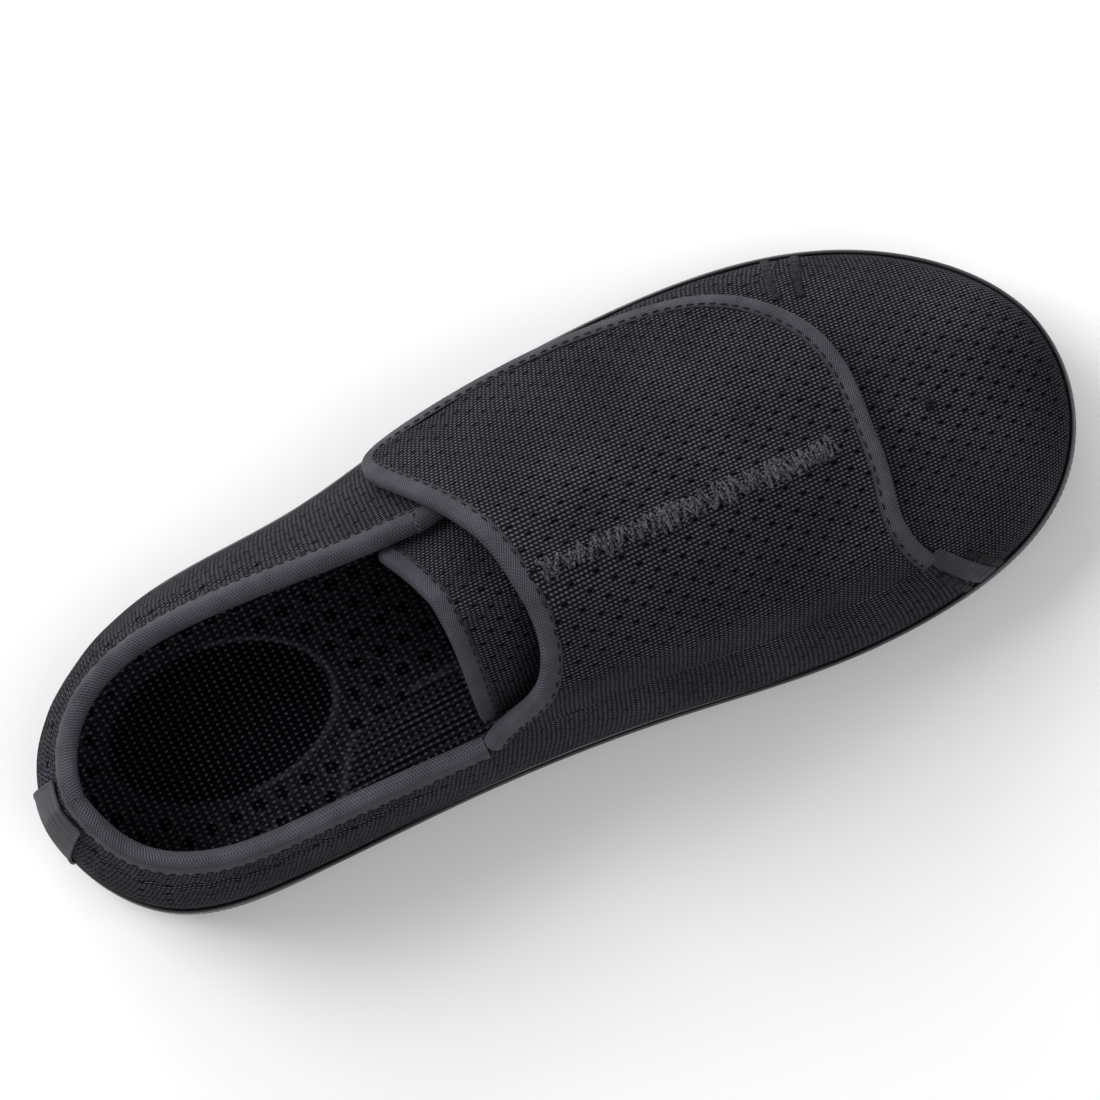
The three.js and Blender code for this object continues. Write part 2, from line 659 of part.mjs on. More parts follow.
add("quarter_outer_mesh", quarter(1, 0, meshLow, seamGap), meshColor, 0.85);
add("quarter_inner_mesh", quarter(-1, 0, meshLow, seamGap), meshColor, 0.85);
add("quarter_outer_lining", quarter(1, liningHigh, liningLow, 3 * seamGap), liningColor, 0.95);
add("quarter_inner_lining", quarter(-1, liningHigh, liningLow, 3 * seamGap), liningColor, 0.95);
for (const [name, side] of [["quarter_outer_foam", 1], ["quarter_inner_foam", -1]]) {
  const domain = quarterFoamDomain(side);
  add(name, layer({
    chart: roundChart, domain, rows: 15, columns: 6, low: foamLow, high: foamHigh,
  }), foamColor, 1);
}
const counterFrom = 0.03; // heights on the heel, as shares of the wall
const counterTo = 0.25;
const collarFoamFrom = counterTo + 0.015;
const collarFoamDrop = 0.012; // below the collar's edge
const heelPart = (from, to, columns) =>
  layer({ chart: roundChart, domain: heelDomain(from, to), rows: 20, columns, low: foamLow, high: foamHigh });
add("heel_counter", heelPart(counterFrom, () => counterTo, 4), stiffenerColor, 0.7);
add("collar_foam", heelPart(collarFoamFrom, (t) => quarterTop(t) - collarFoamDrop, 4), foamColor, 1);

const collarFront = 0.695;
const collarEdge = (a) => {
  const t = collarFront / 2 - a * (collarFront / 2 + hingeRear / 2 - 0.006);
  return [t, quarterTop(t)];
};
add("collar_binding", binding({
  chart: roundChart, edge: collarEdge, toward: (a) => [collarEdge(a)[0], collarEdge(a)[1] - 0.1], steps: 60,
  low: liningLow, high: 0,
}), tapeColor, 0.5);
const tabHalf = pullTabWidth / 4 / lastLength;
const tabFrom = 0.05;
const tabTo = 0.42;
const tabTop = stripLift + pullTabThick;
add("heel_pull_tab", strip(roundChart, -tabHalf, tabHalf, tabFrom, tabTo, 6, 8, stripLift, tabTop), tapeColor, 0.6);

const vampFoamHigh = meshLow - gap;
const vampFoamLow = vampFoamHigh - vampFoamThick;
const vampLiningHigh = vampFoamLow - gap;
const puffHigh = (vampLiningHigh + meshLow + puffThick) / 2;
add("vamp_mesh", vampPanel(0, 1, 0, meshLow, 9), meshColor, 0.85);
const vampFoamFront = 0.915; // the foam ends where the toe puff begins
const puffHalf = 0.035;
const puffFrom = 0.035;
const puffTo = 0.72;
const puff = strip(
  roundChart, 0.5 - puffHalf, 0.5 + puffHalf, puffFrom, puffTo, 16, 6, puffHigh - puffThick, puffHigh,
);
add("vamp_foam", vampPanel(0, vampFoamFront, vampFoamHigh, vampFoamLow, 6), foamColor, 1);
add("toe_puff", puff, stiffenerColor, 0.7);
add("vamp_lining", vampPanel(0, 1, vampLiningHigh, vampLiningHigh - liningThick, 9), liningColor, 0.95);

const flapMeshLow = flapStack - meshThick;
add("flap_mesh", flapLayer(flapDomain, flapStack, flapMeshLow), meshColor, 0.85);
add("flap_foam", flapLayer(flapDomain, flapMeshLow - gap, liningThick + gap), foamColor, 1);
add("flap_lining", flapLayer(flapDomain, liningThick, 0), liningColor, 0.95);
const flapTapeInset = 0.006; // bare share of the outline at both ends of the tape
const flapSpan = (a) => flapEdge(flapTapeInset + a * (1 - 2 * flapTapeInset));
add("flap_binding", binding({
  chart: acrossChart, edge: flapSpan, toward: () => [0.66, 0.5], steps: 72,
  low: flapFace(0), high: flapFace(flapStack),
}), tapeColor, 0.5);
// The loop patch starts clear of the tape on the throat's edge.
const loopEdge = 1 - throatHeight / 2 + (tapeDepth + 1) * perGirth;
const loopLow = 0.795;
const loopRear = 0.52;
const loopFront = 0.74;
const hookInset = 0.006;
const hookLow = 0.775;
const hookRear = 0.53;
const hookFront = 0.705;
const hookTop = flapLift - gap;
add("flap_hook_strip", strip(
  acrossChart, hookRear, hookFront, loopEdge + hookInset, hookLow, 8, 5, hookTop - hookThick, hookTop,
), hookColor, 1);
add("loop_patch", strip(
  acrossChart, loopRear, loopFront, loopEdge, loopLow, 10, 6, gap, gap + loopThick,
), loopColor, 1);
const seamBase = flapLift + flapStack + gap;
const zigzagRear = 0.537;
const zigzagFront = 0.795;
const zigzagInner = 0.468;
const zigzagOuter = 0.492;
const zigzagThick = 0.6;
add("flap_zigzag_seam", strip(
  acrossChart, zigzagRear, zigzagFront, zigzagInner, zigzagOuter, 14, 2, seamBase, seamBase + zigzagThick,
), tapeColor, 0.7);

const tongueStack = meshThick + gap + tongueFoamThick + gap + liningThick;
add("tongue_mesh", tongueLayer(0, -meshThick), meshColor, 0.85);
add("tongue_foam", tongueLayer(-meshThick - gap, -meshThick - gap - tongueFoamThick), foamColor, 1);
add("tongue_lining", tongueLayer(liningThick - tongueStack, -tongueStack), liningColor, 0.95);
add("tongue_binding", binding({
  chart: acrossChart, edge: tongueRear, toward: () => [0.66, 0.45], steps: 24,
  low: tongueTop - tongueStack, high: tongueTop,
}), tapeColor, 0.5);

const stripTop = stripLift + stripThick;
const stripHalf = 0.003;
const rearOfSeam = 0.009;
const frontOfSeam = 0.011;
const outerStrip = [0.77, 0.975]; // from and to, across the shoe
const innerStrip = [0.03, 0.17];
const seamStrip = (p, [from, to]) =>
  strip(acrossChart, p - stripHalf, p + stripHalf, from, to, 2, 6, stripLift, stripTop);
add("seam_strip_outer_rear", seamStrip(outerSeam - rearOfSeam, outerStrip), tapeColor, 0.7);
add("seam_strip_outer_front", seamStrip(outerSeam + frontOfSeam, outerStrip), tapeColor, 0.7);
add("seam_strip_inner_rear", seamStrip(innerSeam - rearOfSeam, innerStrip), tapeColor, 0.7);
add("seam_strip_inner_front", seamStrip(innerSeam + frontOfSeam, innerStrip), tapeColor, 0.7);

export default group;
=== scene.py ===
# Adjustable mesh shoe for the left foot: knitted upper, taped edges, wrap-over flap, cushioned insole.
import math

import bmesh
import bpy
import numpy as np
from mathutils import Matrix, Vector


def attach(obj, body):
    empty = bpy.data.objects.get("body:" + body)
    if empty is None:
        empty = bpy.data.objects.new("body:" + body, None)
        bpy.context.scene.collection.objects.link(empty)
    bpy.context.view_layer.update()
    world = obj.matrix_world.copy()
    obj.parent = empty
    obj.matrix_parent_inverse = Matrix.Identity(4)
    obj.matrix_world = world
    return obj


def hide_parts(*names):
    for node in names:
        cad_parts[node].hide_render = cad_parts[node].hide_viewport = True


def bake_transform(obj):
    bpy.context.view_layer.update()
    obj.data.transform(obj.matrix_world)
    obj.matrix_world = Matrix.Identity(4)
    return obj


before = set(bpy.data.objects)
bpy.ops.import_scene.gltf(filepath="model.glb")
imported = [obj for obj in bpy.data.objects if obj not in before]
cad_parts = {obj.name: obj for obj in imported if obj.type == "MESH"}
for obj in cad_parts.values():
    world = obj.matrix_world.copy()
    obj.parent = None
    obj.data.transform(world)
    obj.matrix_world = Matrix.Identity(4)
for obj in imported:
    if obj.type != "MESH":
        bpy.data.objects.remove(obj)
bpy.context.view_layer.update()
print("stage: frame loaded,", len(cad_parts), "nodes")

# Sizes below are in millimetres; meshFromQuads turns them into metres.
last = {
    "length": 292.5,
    "width": 110.0,
    "featherHeight": 17.0,
    "instepRise": 89.0,
    "toeSpring": 9.0,
    "springFrom": 0.62,
    "shift": (2.4, 2.0),
    "outline": [
        (-0.5265, 0.009), (-0.475, 0.268), (-0.347, 0.427), (-0.183, 0.386), (-0.031, 0.477), (0.171, 0.486),
        (0.366, 0.4), (0.523, 0.014), (0.4615, -0.482), (0.229, -0.55), (0.041, -0.432), (-0.157, -0.377),
        (-0.366, -0.377), (-0.4667, -0.309),
    ],
    "ridge": [
        (-0.345, 0.009, 1), (-0.318, 0.009, 0.978), (-0.26, 0, 0.921), (-0.13, -0.018, 0.843),
        (0.0376, -0.027, 0.697), (0.205, -0.045, 0.483), (0.325, -0.073, 0.371), (0.369, -0.082, 0.337),
    ],
    "ridgeSlope": [-0.1, -0.2, -0.23, -0.23, -0.33, -0.35, -0.26, -0.23],
    "crownFullness": [0.3, 0.3, 0.3, 0.42, 0.55, 0.55, 0.55, 0.55],
    "wallRise": [33, 34, 36, 36, 28, 19, 15, 14],
    "bulgeInner": [3.5, 3.5, 5, 3, 2.5],
    "bulgeOuter": [3.5, 3.5, 2.5, 2.5, 2.5],
    "soleInner": [1, 1, 0.7, 0.1, 0.1, 0.45, 1, 1],
}


# Weights of a uniform cubic B-spline at fraction f of a span.
def splineWeights(f):
    weights = [(1 - f) ** 3, 3 * f**3 - 6 * f**2 + 4, -3 * f**3 + 3 * f**2 + 3 * f + 1, f**3]
    return np.stack(weights, -1) / 6


# Closed B-spline whose control point i stands at t = i / n.
def closedSpline(points, t):
    control = np.asarray(points, float)
    x = np.mod(t, 1) * len(control)
    i = np.floor(x).astype(int)
    picked = control[np.mod(i[..., None] + np.arange(-1, 3), len(control))]
    return (splineWeights(x - i)[..., None] * picked).sum(-2)


# Open B-spline from its first to its last control point, a from 0 to 1; the ends are mirrored.
def openSpline(points, a):
    control = np.asarray(points, float)
    control = control[:, None] if control.ndim == 1 else control
    extended = np.vstack([2 * control[0] - control[1], control, 2 * control[-1] - control[-2]])
    x = np.clip(a, 0, 1) * (len(control) - 1)
    i = np.minimum(np.floor(x), len(control) - 2).astype(int)
    return (splineWeights(x - i)[..., None] * extended[i[..., None] + np.arange(4)]).sum(-2)


# Length run along a row of points up to each of them.
def runAlong(points):
    return np.concatenate([[0], np.cumsum(np.linalg.norm(np.diff(points, axis=0), axis=-1))])


def unit(v):
    return v / np.maximum(np.linalg.norm(v, axis=-1, keepdims=True), 1e-9)


# Open B-spline of single numbers.
def curve(values, a):
    return openSpline(values, a)[..., 0]


# Rises smoothly from 0 at a to 1 at b.
def ease(a, b, x):
    f = np.clip((x - a) / (b - a), 0, 1)
    return f * f * (3 - 2 * f)


def alongShoe(t):
    return 1 - np.abs(1 - 2 * np.mod(t, 1))


def toeLift(u):
    start = last["springFrom"]
    return last["toeSpring"] * np.clip((u - start) / (1 - start), 0, None) ** 2


# Feather line at t, round the shoe, and its level direction outwards.
def featherLine(t):
    t = np.asarray(t, float)
    size = np.array([last["length"], last["width"]])
    flat = closedSpline(last["outline"], t) * size + last["shift"]
    tangent = (closedSpline(last["outline"], t + 1e-3) - closedSpline(last["outline"], t - 1e-3)) * size
    height = last["featherHeight"] + toeLift(alongShoe(t))
    out = np.stack([-tangent[..., 1], tangent[..., 0], np.zeros_like(height)], -1)
    return np.stack([flat[..., 0], flat[..., 1], height], -1), unit(out)


# Last surface: a cubic Bezier from the feather line (s = 0) up the wall and over to the ridge (s = 1).
def lastPoint(t, s):
    t, s = np.broadcast_arrays(np.asarray(t, float), np.asarray(s, float))
    u = alongShoe(t)
    foot, out = featherLine(t)
    ridge = openSpline(last["ridge"], u)
    top = np.stack(
        [
            ridge[..., 0] * last["length"] + last["shift"][0],
            ridge[..., 1] * last["width"] + last["shift"][1],
            last["featherHeight"] + ridge[..., 2] * last["instepRise"],
        ],
        -1,
    )
    outer = (np.mod(t, 1) < 0.5)[..., None]
    wall = foot + out * np.where(outer, openSpline(last["bulgeOuter"], u), openSpline(last["bulgeInner"], u))
    wall[..., 2] += curve(last["wallRise"], u)
    ahead = (foot[..., 0] - top[..., 0]) * (1 - ease(0.3, 0.45, u) * (1 - ease(0.84, 1, u)))
    slope = curve(last["ridgeSlope"], u)
    crown = np.stack([ahead, foot[..., 1] - top[..., 1], slope * ahead], -1)
    crown = top + crown * openSpline(last["crownFullness"], u)
    s = s[..., None]
    return (1 - s) ** 3 * foot + 3 * (1 - s) ** 2 * s * wall + 3 * (1 - s) * s**2 * crown + s**3 * top


def lastNormal(t, s):
    e = 2e-3
    s = np.clip(s, e, 0.976)
    return unit(np.cross(lastPoint(t, s + e) - lastPoint(t, s), lastPoint(t + e, s) - lastPoint(t - e, s)))


# Chart round the shoe: p is t and q is s, at a depth along the normal.
def roundChart(p, q, depth=0.0):
    p, q, depth = np.broadcast_arrays(p, q, depth)
    return lastPoint(p, q) + lastNormal(p, q) * depth[..., None]


acrossSize = 290, 150


# Chart across the shoe: p along it, q from the inner feather line over the ridge (0.5) to the outer one.
def acrossChart(p, q, depth=0.0):
    p, q, depth = np.broadcast_arrays(p, q, depth)
    inner = q < 0.5
    s = np.where(inner, 2 * q, 2 - 2 * q)
    here = np.where(inner, 1 - p / 2, p / 2)
    share = (0.5 * ease(0.84, 1, s))[..., None]
    normal = unit(lastNormal(here, s) * (1 - share) + lastNormal(1 - here, s) * share)
    return lastPoint(here, s) + normal * depth[..., None]


# Millimetres up the last from s to the ridge, from a table over t and s that is read between its points.
def makeGirthTable(rows, columns):
    t, s = np.meshgrid(np.linspace(0, 1, rows), np.linspace(0, 1, columns), indexing="ij")
    steps = np.linalg.norm(np.diff(lastPoint(t, s), axis=1), axis=-1)
    return np.concatenate([np.cumsum(steps[:, ::-1], 1)[:, ::-1], np.zeros((rows, 1))], 1)


girthTable = makeGirthTable(721, 61)


def girthFromRidge(t, s):
    x, y = np.mod(t, 1) * (girthTable.shape[0] - 1), np.clip(s, 0, 1) * (girthTable.shape[1] - 1)
    x, y = np.broadcast_arrays(x, y)
    i = np.minimum(x.astype(int), girthTable.shape[0] - 2)
    j = np.minimum(y.astype(int), girthTable.shape[1] - 2)
    fx, fy = x - i, y - j
    near = girthTable[i, j] * (1 - fy) + girthTable[i, j + 1] * fy
    return near * (1 - fx) + (girthTable[i + 1, j] * (1 - fy) + girthTable[i + 1, j + 1] * fy) * fx


# Millimetres along the wall from the heel's centre line to u.
def wallLength(u, side):
    steps = np.linspace(0, 1, 400)
    line = lastPoint(np.mod(side * steps / 2, 1) if side > 0 else 1 - steps / 2 - 1e-9, 0.3)
    return np.interp(u, steps, runAlong(line))


def roundUv(t, s):
    side = np.where(t >= 0, 1, -1)
    u = 2 * np.abs(t)
    run = np.where(t >= 0, wallLength(u, 1), wallLength(u, -1))
    return np.stack([run * 0.001, side * girthFromRidge(np.mod(t, 1), s) * 0.001], -1)


# Cloth over the instep lies as if rolled out flat: each point keeps its level direction from its ridge point
# and its true distance from it over the last.
def acrossUv(p, q):
    inner = q < 0.5
    t, s = np.where(inner, 1 - p / 2, p / 2), np.where(inner, 2 * q, 2 - 2 * q)
    steps = np.linspace(0, 1, 400)
    ridge = lastPoint(steps / 2, 1.0)
    start = np.stack([np.interp(p, steps, runAlong(ridge)), np.interp(p, steps, ridge[:, 1])], -1)
    place = lastPoint(t, s)
    aim = np.stack([place[..., 0] - np.interp(p, steps, ridge[:, 0]), place[..., 1] - start[..., 1]], -1)
    return (start + unit(aim) * girthFromRidge(t, s)[..., None]) * 0.001


# Quads of a grid of rows and columns of vertices, starting at vertex first.
def gridQuads(rows, columns, first=0, closedRows=False, closedColumns=False):
    i = np.arange(rows if closedRows else rows - 1)[:, None]
    j = np.arange(columns if closedColumns else columns - 1)[None, :]
    i2, j2 = (i + 1) % rows, (j + 1) % columns
    corners = [i * columns + j, i2 * columns + j, i2 * columns + j2, i * columns + j2]
    return np.stack(np.broadcast_arrays(*corners), -1).reshape(-1, 4) + first


def addObject(name, data):
    thing = bpy.data.objects.new(name, data)
    bpy.context.scene.collection.objects.link(thing)
    return thing


# A mesh object from vertices in millimetres, quads and one uv pair for each vertex. Doubles are merged and
# the faces of the closed shape are turned outwards.
def meshFromQuads(name, vertices, quads, uvs=None):
    mesh = bpy.data.meshes.new(name)
    mesh.vertices.add(len(vertices))
    mesh.vertices.foreach_set("co", (np.asarray(vertices) * 0.001).ravel())
    mesh.loops.add(quads.size)
    mesh.loops.foreach_set("vertex_index", quads.ravel())
    mesh.polygons.add(len(quads))
    mesh.polygons.foreach_set("loop_start", np.arange(0, quads.size, 4))
    if uvs is not None:
        mesh.uv_layers.new(name="Cloth").data.foreach_set("uv", uvs[quads.ravel()].ravel())
    mesh.update(calc_edges=True)
    work = bmesh.new()
    work.from_mesh(mesh)
    bmesh.ops.remove_doubles(work, verts=work.verts, dist=2e-6)
    bmesh.ops.dissolve_degenerate(work, edges=work.edges, dist=1e-7)
    bmesh.ops.recalc_face_normals(work, faces=work.faces)
    work.to_mesh(mesh)
    work.free()
    mesh.polygons.foreach_set("use_smooth", np.full(len(mesh.polygons), True))
    mesh.update()
    return addObject(name, mesh)


# A closed slab between an outer and an inner grid of points, with walls round its border.
def slab(name, outer, inner, uvs=None):
    rows, columns = outer.shape[:2]
    count = rows * columns
    quads = [gridQuads(rows, columns), gridQuads(rows, columns, count)[:, ::-1]]
    index = np.arange(count).reshape(rows, columns)
    for edge in (index[0], index[-1], index[:, 0], index[:, -1]):
        quads.append(np.stack([edge[:-1], edge[1:], edge[1:] + count, edge[:-1] + count], -1))
    vertices = np.concatenate([outer.reshape(-1, 3), inner.reshape(-1, 3)])
    flat = None if uvs is None else np.concatenate([uvs.reshape(-1, 2)] * 2)
    return meshFromQuads(name, vertices, np.concatenate(quads), flat)


# A closed band: a closed section of points at each step of a path, capped at both ends unless it loops.
def band(name, sections, uvs=None, loop=False):
    steps, ring = sections.shape[:2]
    quads = [gridQuads(steps, ring, 0, loop, True)]
    vertices = sections.reshape(-1, 3)
    flat = None if uvs is None else uvs.reshape(-1, 2)
    if not loop:
        middle = np.stack([sections[0].mean(0), sections[-1].mean(0)])
        k = np.arange(0, ring, 2)
        for cap, start in ((0, 0), (1, (steps - 1) * ring)):
            centre = np.full(len(k), len(vertices) + cap)
            quads.append(np.stack([centre, start + k, start + (k + 1) % ring, start + (k + 2) % ring], -1))
        vertices = np.concatenate([vertices, middle])
        flat = None if uvs is None else np.concatenate([flat, flat[[0, -1]]])
    return meshFromQuads(name, vertices, np.concatenate(quads), flat)


# A layer on the chart across the shoe between two depths.
def acrossLayer(name, p, q, top, bottom):
    return slab(name, acrossChart(p, q, top), acrossChart(p, q, bottom), acrossUv(p, q))


def unitGrid(rows, columns):
    return np.meshgrid(np.linspace(0, 1, rows), np.linspace(0, 1, columns), indexing="ij")


# Slow, smooth unevenness between -1 and 1 from a few sines at unrelated angles.
def softNoise(x, y, size, seed):
    k = 2 * np.pi / size
    first = np.sin(k * (x * 0.83 + y * 0.51) + seed) * np.sin(k * (x * 0.37 - y * 0.92) + 1.7 * seed + 0.6)
    second = np.sin(1.7 * k * (x * 0.21 + y * 0.97) + 2.3 * seed)
    return 0.6 * first + 0.4 * second * np.sin(1.9 * k * (x * 0.9 - y * 0.3) + seed + 2)


# The same on the chart across the shoe, which is about 290 mm long and 150 mm round.
def acrossNoise(p, q, size, seed):
    return softNoise(p * acrossSize[0], q * acrossSize[1], size, seed)


# One socket of a node tree. Arithmetic on it adds Math nodes.
class Wire:
    def __init__(self, tree, socket):
        self.tree, self.socket = tree, socket

    def math(self, operation, *others):
        return addNode(self.tree, "Math", {"operation": operation}, dict(enumerate((self, *others))))[0]

    def __add__(self, other):
        return self.math("ADD", other)

    __radd__ = __add__

    def __sub__(self, other):
        return self.math("SUBTRACT", other)

    def __rsub__(self, other):
        return self.math("MULTIPLY_ADD", -1, other)

    def __mul__(self, other):
        return self.math("MULTIPLY", other)

    __rmul__ = __mul__

    def ramp(self, low, high):  # 0 below low, 1 above high, smooth between
        sockets = {"Value": self, "From Min": low, "From Max": high}
        return addNode(self.tree, "MapRange", {"interpolation_type": "SMOOTHSTEP"}, sockets)[0]


# Adds a node: settings first, then the values or links of its sockets. Returns its outputs as wires.
def addNode(tree, kind, settings=None, sockets=None):
    node = tree.nodes.new("ShaderNode" + kind)
    for key, value in (settings or {}).items():
        setattr(node, key, value)
    for key, value in (sockets or {}).items():
        if isinstance(value, Wire):
            tree.links.new(value.socket, node.inputs[key])
        else:
            node.inputs[key].default_value = value
    return [Wire(tree, output) for output in node.outputs]


# A material with its Principled shader's fixed values; paint(tree) returns what varies over the surface.
def makeFinish(name, fixed, paint=lambda tree: {}):
    material = bpy.data.materials.new(name)
    material.use_nodes = True
    tree = material.node_tree
    shader = tree.nodes["Principled BSDF"]
    for key, value in fixed.items():
        shader.inputs[key].default_value = value
    for key, value in paint(tree).items():
        tree.links.new(value.socket, shader.inputs[key])
    return material


# The cloth's own coordinates in millimetres.
def clothCoordinates(tree):
    uv = addNode(tree, "UVMap", {"uv_map": "Cloth"})[0]
    x, y = addNode(tree, "SeparateXYZ", None, {0: uv})[:2]
    return x * 1000, y * 1000


def objectPosition(tree):
    return addNode(tree, "TexCoord")[3]


def noise(tree, vector, scale, detail=2.0):
    return addNode(tree, "TexNoise", None, {"Vector": vector, "Scale": scale, "Detail": detail})[0]


def mixColour(tree, factor, first, second):
    sockets = {0: factor, 6: first, 7: second}
    return addNode(tree, "Mix", {"data_type": "RGBA"}, sockets)[2]


def bumpFrom(tree, height, distance):
    return addNode(tree, "Bump", None, {"Height": height, "Distance": distance, "Strength": 1.0})[0]


# Distance from the middle of cells that are staggered row by row, each axis scaled to the spot's half size.
def spotDistance(x, y, pitchX, pitchY, halfX, halfY):
    row = (y * (1 / pitchY)).math("FLOOR")
    cellX = (x * (1 / pitchX) + (row * 0.5).math("FRACT")).math("FRACT") - 0.5
    cellY = (y * (1 / pitchY)).math("FRACT") - 0.5
    cellX, cellY = cellX * (pitchX / halfX), cellY * (pitchY / halfY)
    return (cellX * cellX + cellY * cellY).math("SQRT")


knit = {
    "yarn": (0.15, 0.146, 0.178, 1),
    "shade": (0.0004, 0.0004, 0.0008, 1),
    "stitchPitch": (1.3, 0.98),
    "stitch": (0.58, 0.32),
    "dashPitch": (7.3, 2.9),
    "dash": (1.1, 0.32),
    "relief": 0.0006,
}


# Knit: staggered rows of raised stitches with dark gaps between, and longer dark holes in a wider grid.
def knitFinish():
    def paint(tree):
        x, y = clothCoordinates(tree)
        position = objectPosition(tree)
        drift = noise(tree, position, 90.0) * 0.6
        x, y = x + drift, y + drift * 0.7
        stitch = 1 - spotDistance(x + y * 0.45, y, *knit["stitchPitch"], *knit["stitch"]).ramp(0.35, 1.25)
        dash = spotDistance(x, y + 1.1, *knit["dashPitch"], *knit["dash"]).ramp(0.6, 1.3)
        fibre = noise(tree, position, 2600.0, 3.0)
        patch = noise(tree, position, 38.0, 2.0)
        height = (stitch * 0.8 + fibre * 0.3) * (dash * 0.8 + 0.2)
        cover = (stitch * 0.95 + 0.05) * dash * (fibre * 1.3 + patch * 0.6 - 0.42)
        return {
            "Base Color": mixColour(tree, cover.math("MAXIMUM", 0), knit["shade"], knit["yarn"]),
            "Roughness": 0.92 - fibre * 0.2,
            "Normal": bumpFrom(tree, height, knit["relief"]),
        }

    fixed = {"Sheen Weight": 0.01, "Sheen Roughness": 0.4, "Specular IOR Level": 0.03}
    return makeFinish("knittedMesh", fixed, paint)


twill = {
    "colour": (0.078, 0.076, 0.095, 1),
    "shade": (0.006, 0.006, 0.009, 1),
    "pitch": 0.85,
    "relief": 0.00018,
}


# Twill tape: diagonal ribs with a fainter second set across them, and painted shade along its border on the
# panel.
def tapeFinish():
    def paint(tree):
        x, y = clothCoordinates(tree)
        wave = 2 * math.pi / twill["pitch"]
        diagonal = ((x + y * 1.2) * wave).math("SINE") * 0.5 + 0.5
        cross = ((x - y * 0.8) * wave).math("SINE") * 0.25
        wear = noise(tree, objectPosition(tree), 140.0, 3.0)
        # The ramp on y paints shade over the first 2 mm of the tape from its border on the panel.
        cover = (diagonal * 0.45 + cross * 0.4 + wear * 0.6) * (y.ramp(-0.4, 1.9) * 0.6 + 0.4)
        return {
            "Base Color": mixColour(tree, cover, twill["shade"], twill["colour"]),
            "Roughness": 0.72 - wear * 0.25,
            "Normal": bumpFrom(tree, diagonal + cross, twill["relief"]),
        }

    fixed = {"Sheen Weight": 0.02, "Sheen Roughness": 0.3, "Specular IOR Level": 0.14}
    return makeFinish("edgeTape", fixed, paint)


# Rubber: fine specks and larger scuffs, which are also duller, under a thin coat.
def rubberFinish(name, colour, roughness, grain, coat):
    def paint(tree):
        position = objectPosition(tree)
        speck = noise(tree, position, grain, 4.0)
        scuff = noise(tree, position, 45.0, 3.0).ramp(0.45, 0.8)
        dark = tuple(0.6 * c for c in colour[:3]) + (1,)
        return {
            "Base Color": mixColour(tree, speck * 0.6 + scuff * 0.4, dark, colour),
            "Roughness": roughness + scuff * 0.15 + speck * 0.08,
            "Normal": bumpFrom(tree, speck, 0.00012),
        }

    return makeFinish(name, {"Coat Weight": coat, "Coat Roughness": 0.25, "Specular IOR Level": 0.3}, paint)


weave = {
    "yarn": (0.12, 0.115, 0.15, 1),
    "shade": (0.0005, 0.0005, 0.0012, 1),
    "pitch": (2.2, 1.5),
    "relief": 0.0004,
}


# Insole textile: woven ribs, sparse bright fibre points, and painted shade and painted highlight from the
# embossing's height, dark in its hollows and light on its raised edges.
def insoleFinish():
    def paint(tree):
        x, y = clothCoordinates(tree)
        emboss = addNode(tree, "Attribute", {"attribute_name": "Relief"})[2]
        rib = (y * (2 * math.pi / weave["pitch"][1])).math("SINE") * 0.5 + 0.5
        cross = (x * (2 * math.pi / weave["pitch"][0])).math("SINE") * 0.5 + 0.5
        grain = noise(tree, objectPosition(tree), 1900.0, 3.0)
        # The embossing's height paints shade into its hollows and a highlight onto its raised edges.
        cover = (rib * cross).ramp(0.35, 0.95) * grain * 0.75 + grain * 0.22 - 0.07 + emboss * 0.4
        return {
            "Base Color": mixColour(tree, cover.math("MAXIMUM", 0), weave["shade"], weave["yarn"]),
            "Roughness": 0.9 - grain * 0.2,
            "Normal": bumpFrom(tree, rib * 0.6 + cross * 0.3 + grain * 0.4, weave["relief"]),
        }

    return makeFinish("embossedTextile", {"Specular IOR Level": 0.04}, paint)


# Plain materials and threads: two colours by a noise of one size and detail, with its relief. Where the
# grain is high the surface is smoother by the share called gloss.
def grainFinish(name, dark, light, scale, relief, roughness, gloss=0.1, detail=4.0, fixed=None):
    def paint(tree):
        grain = noise(tree, objectPosition(tree), scale, detail)
        return {
            "Base Color": mixColour(tree, grain.ramp(0.3, 0.7), (*dark, 1), (*light, 1)),
            "Roughness": roughness - grain * gloss,
            "Normal": bumpFrom(tree, grain, relief),
        }

    return makeFinish(name, fixed or {"Specular IOR Level": 0.15}, paint)


def threadFinish(name, colour):
    fixed = {"Sheen Weight": 0.02, "Specular IOR Level": 0.08}
    return grainFinish(name, (0.0004, 0.0004, 0.0008), colour, 1800.0, 0.0003, 0.75, 0.25, 2.0, fixed)


